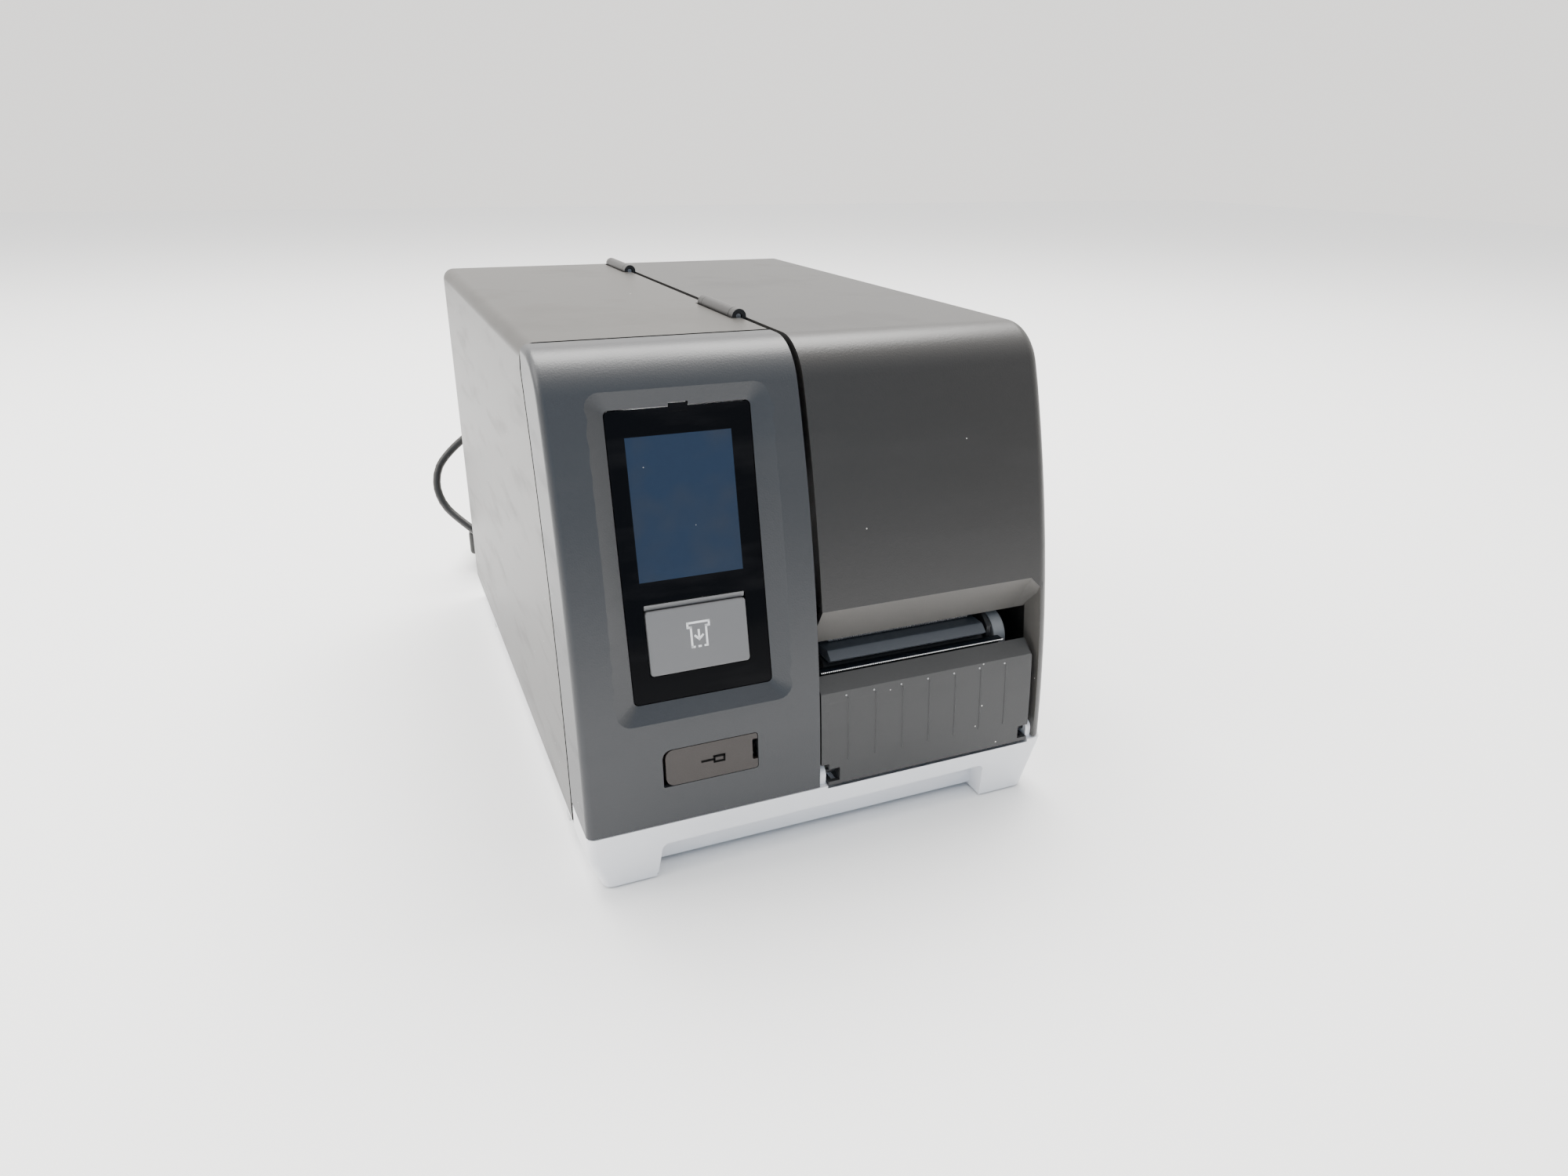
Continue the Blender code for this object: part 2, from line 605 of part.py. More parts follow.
def mechanism_frame():
    """The outer side plate, the media bed with its gap sensor, and the tear bar."""
    outline = [
        (-190.0, BASE_TOP + GAP),
        (-190.0, 104.0),
        (-172.0, 118.0),
        (-100.0, 118.0),
        (-76.0, 84.0),
        (-44.0, 84.0),
        (-44.0, BASE_TOP + GAP),
    ]
    side = plate("mechanism_side_plate", "X", outline, *SIDE_PLATE, "black_plastic")
    cut(side, rod("side_bearing_hole", "X", PLATEN_AXIS, 6.4, 100, 120, sides=20))
    box("media_bed", (1.0, -170.0, 94.0), (107.4, -98.0, 96.0), "aluminium")
    box("gap_sensor", (42.0, -160.0, 86.0), (62.0, -146.0, 93.6), "black_plastic")
    bar = [
        (-198.4, 97.2),
        (-198.4, 98.6),
        (-192.6, 98.6),
        (-192.6, 78.0),
        (-194.0, 78.0),
        (-194.0, 97.2),
    ]
    plate("tear_bar", "X", bar, -4.0, 115.0, "steel")


def platen():
    """The rubber roller that feeds the labels, its shaft, its pulley and its two bushes."""
    centre = (0, *PLATEN_AXIS)
    roller = rod("platen_roller", "X", PLATEN_AXIS, PLATEN_RADIUS, 2, 106, "black_rubber", 32)
    cut(roller, rod("roller_bore", "X", PLATEN_AXIS, 3.3, -5, 120, sides=16))
    pulley = rod("platen_pulley", "X", PLATEN_AXIS, PLATEN_PULLEY_RADIUS, *PULLEY, "aluminium", 32)
    cut(pulley, rod("pulley_bore", "X", PLATEN_AXIS, 3.3, -40, -10, sides=16))
    shaft = rod("platen_shaft", "X", PLATEN_AXIS, 3.0, -34, 112, "steel", 16)
    for thing in (roller, pulley, shaft):
        on_axis(thing, centre)
    for name, (start, end) in {"bush_left": (-16.0, -9.6), "bush_right": (107.2, 112.6)}.items():
        bush = rod(name, "X", PLATEN_AXIS, 6.0, start, end, "black_plastic", 20)
        cut(bush, rod(f"{name}_bore", "X", PLATEN_AXIS, 3.4, start - 2, end + 2, sides=16))


def printhead():
    """The thermal head on a bracket that turns about a rod behind it."""
    nose = [
        (-178.0, 100.6),
        (-192.0, 100.6),
        (-195.0, 103.0),
        (-190.0, 107.2),
        (-150.0, 107.2),
        (-150.0, 103.0),
    ]
    head = plate("printhead", "X", nose, 3.0, 105.0, "aluminium")
    bracket = box("printhead_bracket", (8.0, -181.0, 107.6), (100.0, -106.0, 109.4), "steel")
    fuse(bracket, rod("bracket_eye", "X", HEAD_AXIS, 6.0, 8.0, 100.0, sides=20))
    cut(bracket, rod("bracket_bore", "X", HEAD_AXIS, 3.5, 0, 110, sides=16))
    for thing in (head, bracket):
        on_axis(thing, (0, *HEAD_AXIS))
    rod("head_pivot_rod", "X", HEAD_AXIS, 3.0, -10.6, 108.2, "steel", 16)


def head_lift_lever():
    """The curved light-grey lever outside the side plate that lifts the head."""
    rim = [*arc(LEVER_AXIS, 15.0, 78, 212, 12), *arc(LEVER_AXIS, 9.5, 212, 78, 10)]
    lever = plate("head_lift_lever", "X", rim, 114.0, 122.0, "light_grey_plastic")
    spoke = [
        (LEVER_AXIS[0] - 12.0, LEVER_AXIS[1] - 3.0),
        (LEVER_AXIS[0], LEVER_AXIS[1] - 3.0),
        (LEVER_AXIS[0], LEVER_AXIS[1] + 3.0),
        (LEVER_AXIS[0] - 12.0, LEVER_AXIS[1] + 3.0),
    ]
    tab = [(-174.5, 103.0), (-160.0, 107.0), (-160.0, 111.0), (-175.5, 107.4)]
    fuse(
        lever,
        rod("lever_hub", "X", LEVER_AXIS, 5.5, 114.0, 122.0, sides=20),
        plate("lever_spoke", "X", spoke, 114.5, 119.0),
        plate("lever_tab", "X", tab, 114.5, 121.5),
    )
    on_axis(lever, (118, *LEVER_AXIS))


def drive_train():
    """The stepper motor on its bracket, its pulley and the belt to the platen's pulley."""
    half = 21.0
    y, z = MOTOR_AXIS
    bracket = box("motor_bracket", (-37.0, y - 30, BASE_TOP + GAP), (-35.4, y + 30, 100.0), "steel")
    cut(bracket, rod("motor_shaft_hole", "X", MOTOR_AXIS, 11.6, -40, -30))
    motor = box("stepper_motor", (-79.0, y - half, z - half), (-37.4, y + half, z + half), "aluminium")
    soften(motor, 4.0, lambda x, y, z: -78 < x < -38, 1)
    fuse(motor, rod("motor_boss", "X", MOTOR_AXIS, 11.0, -40, -36.0))
    pulley = rod("motor_pulley", "X", MOTOR_AXIS, MOTOR_PULLEY_RADIUS, *PULLEY, "aluminium")
    fuse(pulley, rod("motor_shaft", "X", MOTOR_AXIS, 2.5, -35.4, -22.0, sides=12))
    on_axis(pulley, (0, *MOTOR_AXIS))
    outer = belt_loop(GAP + BELT_THICKNESS)
    belt = plate("drive_belt", "X", outer, PULLEY[0] + 1, PULLEY[1] - 1, "black_rubber")
    cut(belt, plate("belt_inside", "X", belt_loop(GAP), PULLEY[0] - 5, PULLEY[1] + 5))


def belt_loop(offset):
    """The outline of a belt that lies an offset outside both pulleys."""
    big, small = PLATEN_PULLEY_RADIUS + offset, MOTOR_PULLEY_RADIUS + offset
    run = Vector(MOTOR_AXIS) - Vector(PLATEN_AXIS)
    heading = math.degrees(math.atan2(run.y, run.x))
    lean = math.degrees(math.acos((big - small) / run.length))
    round_big = arc(PLATEN_AXIS, big, heading + lean, heading + 360 - lean, 20)
    return [*round_big, *arc(MOTOR_AXIS, small, heading - lean, heading + lean, 10)]


def ribbon_drive():
    """The ribbon's supply and rewind spindles, and the gear motor that turns the rewind."""
    for name, place in (("ribbon_rewind_spindle", REWIND_AXIS), ("ribbon_supply_spindle", SUPPLY_AXIS)):
        spindle = rod(name, "X", place, 12.5, -1.0, 104.0, "black_plastic", 24)
        fuse(spindle, rod(f"{name}_shaft", "X", place, 4.0, -24.0, 0.0, sides=16))
        for turn in range(3):
            middle = 90 + 120 * turn
            rib = arc(place, 15.0, middle - 6, middle + 6, 1)
            rib += arc(place, 9.0, middle + 10, middle - 10, 1)
            fuse(spindle, plate(f"{name}_rib_{turn}", "X", rib, 10.0, 100.0))
        on_axis(spindle, (0, *place))
    rod("ribbon_motor", "X", REWIND_AXIS, 18.0, -62.0, -24.6, "steel", 24)


def media_supports():
    """The hanger for the label roll, the lower guide rod and the edge guides that slide on them."""
    y, z = HANGER_AXIS
    hanger = box("media_hanger", (-10.6, y - 8, z - 5), (124.0, y + 8, z + 5), "black_plastic")
    fuse(hanger, rod("hanger_flange", "X", HANGER_AXIS, 20.0, -10.6, -6.0))
    guide = rod("media_edge_guide", "X", HANGER_AXIS, 34.0, 108.0, 112.0, "black_plastic", 28)
    cut(guide, box("hanger_slot", (90, y - 8.5, z - 5.5), (130, y + 8.5, z + 5.5)))
    rod("lower_guide_rod", "X", GUIDE_AXIS, 3.0, -10.6, 108.2, "steel", 16)
    y, z = GUIDE_AXIS
    low, high = (98.0, y - 14, z - 9), (103.0, y + 14, z + 20)
    lower = box("lower_media_guide", low, high, "light_grey_plastic")
    cut(lower, rod("lower_guide_bore", "X", GUIDE_AXIS, 3.5, 90, 110, sides=16))
    idler = rod("idler_roller", "X", IDLER_AXIS, 6.0, 2.0, 105.0, "black_plastic", 20)
    fuse(idler, rod("idler_axle", "X", IDLER_AXIS, 2.0, -10.6, 108.2, sides=12))
    on_axis(idler, (0, *IDLER_AXIS))


# ------------------------------------------------------------------ electronics and the rear


def electronics():
    """The main board with its parts, and the power supply in its can."""
    board = box("main_board", (-128.0, -10.0, 45.0), (-126.4, 190.0, 235.0), "circuit_board")
    fuse(
        board,
        box("heat_sink", (-127, 30, 150), (-112, 75, 195)),
        box("cable_header", (-127, 95, 205), (-117, 150, 214)),
        box("memory_module", (-127, 100, 60), (-122, 160, 66)),
    )
    can = box("power_supply", (-100.0, 72.0, 36.0), (-34.0, 192.0, 112.0), "aluminium")
    soften(can, 2.0, lambda x, y, z: True, 1)


def rear_connectors():
    """The mains inlet, the rocker switch and the data sockets."""
    x, z = INLET_CENTRE
    inlet = box("power_inlet", (x - 14, 190.0, z - 10), (x + 14, 209.6, z + 10), "black_plastic")
    fuse(inlet, box("inlet_flange", (x - 17, 208.8, z - 13), (x + 17, 211.0, z + 13)))
    cut(inlet, box("inlet_hollow", (x - 12.6, 195.5, z - 8.8), (x + 12.6, 215, z + 8.8)))
    x, z = SWITCH_CENTRE
    housing = box("switch_housing", (x - 9, 193.0, z - 12), (x + 9, 209.6, z + 12), "black_plastic")
    fuse(housing, box("switch_flange", (x - 11, 208.8, z - 14), (x + 11, 210.4, z + 14)))
    cut(housing, box("switch_hollow", (x - 7, 198.0, z - 10.8), (x + 7, 215, z + 10.8)))
    rocker_face = [
        (-4.0, -5.0),
        (2.0, -9.2),
        (4.2, -9.2),
        (2.6, 0.0),
        (4.2, 9.2),
        (2.0, 9.2),
        (-4.0, 5.0),
    ]
    tilt = Matrix.Rotation(math.radians(-10), 2)
    turned = [tilt @ Vector(point) for point in rocker_face]
    outline = [(point.x + ROCKER_Y, point.y + z) for point in turned]
    rocker = plate("power_switch", "X", outline, x - 6.5, x + 6.5, "black_plastic")
    on_axis(rocker, (x, ROCKER_Y, z))
    socket("network_jack", (-125.6, 192.0, 60.0), (-109.4, 208.8, 74.0), (6.0, 4.2, 13.0), 1)
    socket("usb_socket", (-79.4, -206.0, 62.0), (-64.8, -190.0, 70.0), (6.2, 2.6, 12.0), -1)


# ------------------------------------------------------------------ the mains lead

CONNECTOR_END = 254.0
LEAD_ROUTE = [
    (-110.0, CONNECTOR_END, 135.0),
    (-110.3, 266.0, 134.6),
    (-115.0, 278.0, 131.5),
    (-129.6, 284.8, 124.5),
    (-146.3, 285.5, 111.4),
    (-157.5, 282.5, 99.0),
    (-161.6, 278.0, 86.5),
    (-161.0, 273.0, 75.5),
    (-155.9, 268.0, 64.0),
    (-144.1, 259.0, 52.0),
    (-131.0, 251.0, 41.0),
    (-118.0, 247.0, 31.0),
    (-105.0, 248.5, 23.5),
    (-93.0, 254.5, 18.8),
    (-82.0, 260.5, 17.9),
]
COIL_CENTRE = (-84.0, 304.0)
COIL_INNER, COIL_OUTER, COIL_HEIGHT = 27.5, 48.5, 14.0
TAIL_ROUTE = [
    (-88.0, 346.5, 17.8),
    (-97.0, 345.5, 18.4),
    (-108.0, 341.5, 20.5),
    (-118.5, 334.5, 24.0),
    (-125.0, 326.0, 26.2),
    (-127.0, 317.0, 26.8),
]
PLUG_AXIS = (-127.0, 26.8)  # x and z of the plug, which lies on the coil


def smooth(route, spacing):
    """Points about a spacing apart on a smooth curve through the route's points."""
    ends = [Vector(route[0]) * 2 - Vector(route[1]), Vector(route[-1]) * 2 - Vector(route[-2])]
    knots = [ends[0], *map(Vector, route), ends[1]]
    points = []
    for before, start, end, after in zip(knots, knots[1:], knots[2:], knots[3:]):
        steps = max(1, round((end - start).length / spacing))
        for step in range(steps):
            t = step / steps
            bend = (end - before) * t
            bend += (before * 2 - start * 5 + end * 4 - after) * t**2
            bend += (start * 3 - before - end * 3 + after) * t**3
            points.append(start + bend / 2)
    return [*points, Vector(route[-1])]


def lead(name, route):
    """A round tube along a route."""
    curve = bpy.data.curves.new(name, "CURVE")
    curve.dimensions = "3D"
    curve.bevel_depth = CORD_DIAMETER / 2 * MM
    curve.bevel_resolution = 2
    curve.use_fill_caps = True
    points = smooth(route, 2.2 * CORD_DIAMETER)
    spline = curve.splines.new("POLY")
    spline.points.add(len(points) - 1)
    for knot, place in zip(spline.points, points):
        knot.co = (*(place * MM), 1)
    tube = bpy.data.objects.new(name, curve)
    PARTS.objects.link(tube)
    curve.materials.append(material("black_rubber"))


def mains_lead():
    """The lead with its appliance connector, its coil behind the printer and its plug on the coil."""
    x, z = INLET_CENTRE
    body_low, body_high = (x - 12.1, 197.0, z - 8.3), (x + 12.1, 214, z + 8.3)
    connector = box("cord_connector", body_low, body_high, "black_rubber")
    fuse(
        connector,
        box("connector_grip", (x - 13.5, 211.6, z - 9.6), (x + 13.5, 232.0, z + 9.6)),
        rod("connector_relief", "Y", (x, z), 7.0, 230.0, CONNECTOR_END - 0.3, sides=16, end_radius=4.6),
    )
    lead("power_cord", LEAD_ROUTE)
    ring = rod("cord_coil", "Z", COIL_CENTRE, COIL_OUTER, 0.0, COIL_HEIGHT, "black_rubber", 40)
    cut(ring, rod("coil_middle", "Z", COIL_CENTRE, COIL_INNER, -5, 30, sides=32))
    lead("cord_tail", TAIL_ROUTE)
    x, z = PLUG_AXIS
    body_low, body_high = (x - 13.5, 271.0, z - 11.8), (x + 13.5, 302.0, z + 11.8)
    plug = box("mains_plug", body_low, body_high, "black_rubber")
    soften(plug, 4.0, lambda x, y, z: True, 2)
    fuse(plug, rod("plug_relief", "Y", (x, z), 8.5, 300.0, 316.2, sides=16, end_radius=4.6))
    for side in (-1, 1):
        centre = x + side * 6.35
        low, high = (centre - 0.8, 254.0, z - 1.2), (centre + 0.8, 273.0, z + 5.1)
        fuse(plug, box(f"blade_{side}", low, high))
    fuse(plug, rod("earth_pin", "Y", (x, z - 6.0), 2.4, 252.0, 273.0, sides=12))


base()
feet_and_side_screws()
centre_wall()
left_cover()
hinge_barrels()
rear_panel()
display_bezel()
display_parts()
feed_button()
usb_cover()
media_cover()
side_window()
hinge_pins()
front_door()
mechanism_frame()
platen()
printhead()
head_lift_lever()
drive_train()
ribbon_drive()
media_supports()
electronics()
rear_connectors()
mains_lead()
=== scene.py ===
import math

import bmesh
import bpy
from mathutils import Matrix, Vector


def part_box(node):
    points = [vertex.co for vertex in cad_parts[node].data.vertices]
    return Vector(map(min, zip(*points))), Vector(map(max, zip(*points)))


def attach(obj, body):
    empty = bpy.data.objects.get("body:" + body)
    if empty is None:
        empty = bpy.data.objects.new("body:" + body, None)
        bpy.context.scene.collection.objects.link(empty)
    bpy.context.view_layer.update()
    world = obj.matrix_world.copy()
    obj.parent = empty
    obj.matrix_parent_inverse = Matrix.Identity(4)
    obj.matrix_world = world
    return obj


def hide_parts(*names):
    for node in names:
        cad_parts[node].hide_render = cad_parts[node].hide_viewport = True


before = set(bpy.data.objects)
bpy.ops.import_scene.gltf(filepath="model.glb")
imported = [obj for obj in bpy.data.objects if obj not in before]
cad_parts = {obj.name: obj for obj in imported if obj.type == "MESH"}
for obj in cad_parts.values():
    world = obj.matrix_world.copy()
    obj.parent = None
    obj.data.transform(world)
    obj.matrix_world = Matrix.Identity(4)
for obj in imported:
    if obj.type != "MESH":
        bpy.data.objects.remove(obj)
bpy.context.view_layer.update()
bpy.ops.object.select_all(action="DESELECT")

MM = 0.001  # sizes below are in millimetres, and Blender's are in metres

# ---------- camera
# A standing person's view of the printer on its table, from the front and a little to the left.
# The lens is a wide one, as on a phone.
eye = Vector((-0.2224, -0.6544, 0.3675))
yaw, pitch, roll = (math.radians(angle) for angle in (23.178, 23.324, 0.723))
ahead = Vector((math.sin(yaw) * math.cos(pitch), math.cos(yaw) * math.cos(pitch), -math.sin(pitch)))
level = Vector((math.cos(yaw), -math.sin(yaw), 0))
upright = level.cross(ahead)
rightward = level * math.cos(roll) + upright * math.sin(roll)
upward = upright * math.cos(roll) - level * math.sin(roll)
bpy.ops.object.camera_add()
camera = bpy.context.object
camera.name = "camera"
turned = Matrix((rightward, upward, -ahead)).transposed().to_4x4()
camera.matrix_world = Matrix.Translation(eye) @ turned
camera.data.lens = 23.67
camera.data.sensor_width = 36
camera.data.clip_start = 0.01
bpy.context.scene.camera = camera
camera.select_set(False)

# ---------- mains lead
# A three-core lead of 6.8 mm, 1.8 m over its two moulded ends. It leaves the connector, drops in a loose
# loop at the left, and the spare length is wound in a coil of two layers behind the printer.
LEAD_DIAMETER = 6.8
lead_exit = (-110.0, 254.0, 135.0)
drop_route = [
    lead_exit,
    (-110.3, 266.0, 134.6),
    (-115.0, 278.0, 131.5),
    (-129.6, 284.8, 124.5),
    (-146.3, 285.5, 111.4),
    (-157.5, 282.5, 99.0),
    (-161.6, 278.0, 86.5),
    (-161.0, 273.0, 75.5),
    (-155.9, 268.0, 64.0),
    (-144.1, 259.0, 52.0),
    (-131.0, 251.0, 41.0),
    (-118.0, 247.0, 31.0),
    (-105.0, 248.5, 23.5),
    (-93.0, 254.5, 18.8),
]
tail_route = [
    (-97.0, 345.5, 18.4),
    (-108.0, 341.5, 20.5),
    (-118.5, 334.5, 24.0),
    (-125.0, 326.0, 26.2),
    (-127.0, 317.0, 26.8),
]
coil_low, coil_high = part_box("cord_coil")
coil_middle = (coil_low + coil_high) / 2 / MM
lower_layer, upper_layer = 3.5, 10.5  # heights of the lead's middle
# Each step is the turn at which the lead starts to shift, the turn at which it has shifted, and the
# radius and height that it then has.
coil_steps = [
    (0.14, 0.42, 45.0, upper_layer),
    (1.14, 1.42, 45.0, lower_layer),
    (2.08, 2.36, 38.0, lower_layer),
    (3.08, 3.36, 31.0, lower_layer),
    (4.02, 4.28, 31.0, upper_layer),
    (5.0, 5.24, 38.0, upper_layer),
    (5.24, 5.51, 42.7, 17.8),
]


def coil_point(turn):
    """A point of the coil: it goes round once a turn, from the front, and shifts between its tracks."""
    radius, height = 43.5, 17.9
    for start, stop, next_radius, next_height in coil_steps:
        share = min(1, max(0, (turn - start) / (stop - start)))
        share = share * share * (3 - 2 * share)
        radius += (next_radius - radius) * share
        height += (next_height - height) * share
    angle = math.tau * turn - math.pi / 2
    return coil_middle.x + radius * math.cos(angle), coil_middle.y + radius * math.sin(angle), height


def smooth_route(route, spacing):
    """Points about a spacing apart on a smooth curve through the route's points."""
    places = [Vector(place) for place in route]
    knots = [places[0] * 2 - places[1], *places, places[-1] * 2 - places[-2]]
    points = []
    for before, start, end, after in zip(knots, knots[1:], knots[2:], knots[3:]):
        steps = max(1, round((end - start).length / spacing))
        for step in range(steps):
            t = step / steps
            bend = (end - before) * t
            bend += (before * 2 - start * 5 + end * 4 - after) * t**2
            bend += (start * 3 - before - end * 3 + after) * t**3
            points.append(start + bend / 2)
    return [*points, places[-1]]


coil_route = [coil_point(5.51 * step / 110) for step in range(111)]
lead_points = smooth_route([*drop_route, *coil_route, *tail_route], 6.0)
lead_curve = bpy.data.curves.new("mains_lead", "CURVE")
lead_curve.dimensions = "3D"
lead_curve.bevel_depth = LEAD_DIAMETER / 2 * MM
lead_curve.bevel_resolution = 4
lead_curve.use_fill_caps = True
lead_line = lead_curve.splines.new("POLY")
lead_line.points.add(len(lead_points) - 1)
for knot, place in zip(lead_line.points, lead_points):
    knot.co = (*(place * MM), 1)
lead_line.use_smooth = True
mains_lead = bpy.data.objects.new("mains_lead", lead_curve)
bpy.context.scene.collection.objects.link(mains_lead)

# The lead's jacket is extruded black plastic, satin, with a faint drag along it and fine dust.


def feed(tree, socket, value):
    """Sets a socket to a number, a vector or a colour, or links another node's output to it."""
    if isinstance(value, bpy.types.NodeSocket):
        tree.links.new(value, socket)
    elif socket.type == "RGBA":
        socket.default_value = (*value, 1)
    else:
        socket.default_value = value


def add_node(tree, kind, **inputs):
    """A shader node with its inputs set, each from a value or from another node's output."""
    made = tree.nodes.new(kind)
    for name, value in inputs.items():
        feed(tree, made.inputs[name.replace("_", " ")], value)
    return made


def calculate(tree, operation, first, second):
    """A maths node's result, from two values or other nodes' outputs."""
    made = tree.nodes.new("ShaderNodeMath")
    made.operation = operation
    feed(tree, made.inputs[0], first)
    feed(tree, made.inputs[1], second)
    return made.outputs[0]


def mix(tree, share, first, second):
    """A mixed colour, from two colours or other nodes' outputs."""
    made = tree.nodes.new("ShaderNodeMix")
    made.data_type = "RGBA"
    for index, value in ((0, share), (6, first), (7, second)):
        feed(tree, made.inputs[index], value)
    return made.outputs[2]


def ranged(tree, value, low, high, **inputs):
    """A value that has been spread over a new range."""
    return add_node(tree, "ShaderNodeMapRange", Value=value, To_Min=low, To_Max=high, **inputs)


def new_material(name):
    """An empty material, with its node tree and its shader."""
    made = bpy.data.materials.new(name)
    made.use_nodes = True
    return made, made.node_tree, made.node_tree.nodes["Principled BSDF"]


def shared_effect(name, numbers, outputs):
    """An empty node group with a vector input, some number inputs and some number outputs."""
    tree = bpy.data.node_groups.new(name, "ShaderNodeTree")
    tree.interface.new_socket("Vector", in_out="INPUT", socket_type="NodeSocketVector")
    for socket in numbers:
        tree.interface.new_socket(socket, in_out="INPUT", socket_type="NodeSocketFloat")
    for socket in outputs:
        tree.interface.new_socket(socket, in_out="OUTPUT", socket_type="NodeSocketFloat")
    return tree, tree.nodes.new("NodeGroupInput").outputs, tree.nodes.new("NodeGroupOutput").inputs


# Moulded grain: the fine spark-eroded texture of a mould, and a slow mottle from the melt.
grain_tree, given, wanted = shared_effect("moulded_grain", ["Scale"], ["Height", "Mottle"])
fine = add_node(grain_tree, "ShaderNodeTexNoise", Vector=given["Vector"], Scale=given["Scale"], Detail=2.0)
cells = add_node(grain_tree, "ShaderNodeTexVoronoi", Vector=given["Vector"], Scale=given["Scale"])
both = calculate(grain_tree, "MULTIPLY", fine.outputs["Fac"], cells.outputs["Distance"])
slow = add_node(grain_tree, "ShaderNodeTexNoise", Vector=given["Vector"], Scale=9.0, Detail=4.0)
grain_tree.links.new(both, wanted["Height"])
grain_tree.links.new(slow.outputs["Fac"], wanted["Mottle"])

# Dust: sparse pale specks, each in one cell of many, and thin smears where it was wiped.
SPECK_REACH = 0.13  # share of a cell's width
dust_tree, given, wanted = shared_effect("dust", ["Scale", "Amount"], ["Specks", "Smears"])
cells = add_node(dust_tree, "ShaderNodeTexVoronoi", Vector=given["Vector"], Scale=given["Scale"])
parts = add_node(dust_tree, "ShaderNodeSeparateColor", Color=cells.outputs["Color"])
rare = calculate(dust_tree, "LESS_THAN", parts.outputs["Red"], given["Amount"])
near = calculate(dust_tree, "LESS_THAN", cells.outputs["Distance"], SPECK_REACH)
speck = calculate(dust_tree, "MULTIPLY", rare, near)
stretched = add_node(dust_tree, "ShaderNodeMapping", Vector=given["Vector"], Scale=(1.0, 1.0, 5.0))
wiped = add_node(dust_tree, "ShaderNodeTexNoise", Vector=stretched.outputs[0], Scale=14.0, Detail=5.0)
smear = ranged(dust_tree, wiped.outputs["Fac"], 0, 1, From_Min=0.52, From_Max=0.8)
dust_tree.links.new(speck, wanted["Specks"])
dust_tree.links.new(smear.outputs["Result"], wanted["Smears"])


def place_effect(tree, effect, **inputs):
    """A shared effect's node in a material, reading the piece's own coordinates."""
    made = tree.nodes.new("ShaderNodeGroup")
    made.node_tree = effect
    place = tree.nodes.get("place") or tree.nodes.new("ShaderNodeTexCoord")
    place.name = "place"
    tree.links.new(place.outputs["Object"], made.inputs["Vector"])
    for name, value in inputs.items():
        made.inputs[name].default_value = value
    return made.outputs


def moulded(name, colour, roughness, grain=1400.0, depth=0.12, dust=0.006, **sockets):
    """Moulded plastic or rubber: its colour with a slow mottle, mould grain, and dust on the surface."""
    made, tree, shader = new_material(name)
    texture = place_effect(tree, grain_tree, Scale=grain)
    dirt = place_effect(tree, dust_tree, Scale=260.0, Amount=dust)
    darker, lighter = ([share * part for part in colour] for share in (0.9, 1.1))
    tone = mix(tree, texture["Mottle"], darker, lighter)
    tree.links.new(mix(tree, dirt["Specks"], tone, (0.6, 0.58, 0.55)), shader.inputs["Base Color"])
    worn = ranged(tree, dirt["Smears"], roughness, min(1, roughness * 1.25))
    tree.links.new(worn.outputs["Result"], shader.inputs["Roughness"])
    bump = add_node(tree, "ShaderNodeBump", Height=texture["Height"], Strength=depth, Distance=0.0004)
    tree.links.new(bump.outputs["Normal"], shader.inputs["Normal"])
    for socket, value in sockets.items():
        shader.inputs[socket.replace("_", " ")].default_value = value
    return made


jacket = moulded("lead_jacket", (0.022, 0.021, 0.02), 0.42, grain=900.0, depth=0.08)
lead_curve.materials.append(jacket)


def settle(name):
    """Names the new primitive and puts its place and size in its mesh."""
    bpy.context.object.name = name
    bpy.ops.object.transform_apply(location=True, rotation=True, scale=True)
    return bpy.context.object


def block(name, low, high):
    """A cube primitive stretched between two corners."""
    low, high = Vector(low) * MM, Vector(high) * MM
    bpy.ops.mesh.primitive_cube_add(size=1, location=(low + high) / 2, scale=high - low)
    return settle(name)


AXIS_TURN = {"X": (0, math.pi / 2, 0), "Y": (-math.pi / 2, 0, 0), "Z": (0, 0, 0)}


def pillar(name, axis, centre, radius, start, end, sides=32, end_radius=None):
    """A cylinder or cone primitive along an axis; the centre is given across it."""
    middle = list(centre)
    middle.insert("XYZ".index(axis), (start + end) / 2)
    far = radius if end_radius is None else end_radius
    bpy.ops.mesh.primitive_cone_add(
        vertices=sides,
        radius1=radius * MM,
        radius2=far * MM,
        depth=(end - start) * MM,
        location=Vector(middle) * MM,
        rotation=AXIS_TURN[axis],
    )
    return settle(name)


def edit(kind="FACE"):
    """Goes into edit mode on the active piece with nothing selected."""
    bpy.ops.object.mode_set(mode="EDIT")
    bpy.ops.mesh.select_mode(type=kind)
    bpy.ops.mesh.select_all(action="DESELECT")


def choose(kind, test):
    """In edit mode, selects what passes a test of its middle, in millimetres, and of itself."""
    bpy.ops.mesh.select_mode(type=kind)
    bpy.ops.mesh.select_all(action="DESELECT")
    mesh = bpy.context.object.data
    shape = bmesh.from_edit_mesh(mesh)
    for item in {"VERT": shape.verts, "EDGE": shape.edges, "FACE": shape.faces}[kind]:
        corners = [item] if kind == "VERT" else item.verts
        middle = sum((corner.co for corner in corners), Vector()) / len(corners) / MM
        if test(middle, item):
            item.select_set(True)
    shape.select_flush_mode()
    bmesh.update_edit_mesh(mesh)


def done():
    """Leaves edit mode."""
    bpy.ops.object.mode_set(mode="OBJECT")


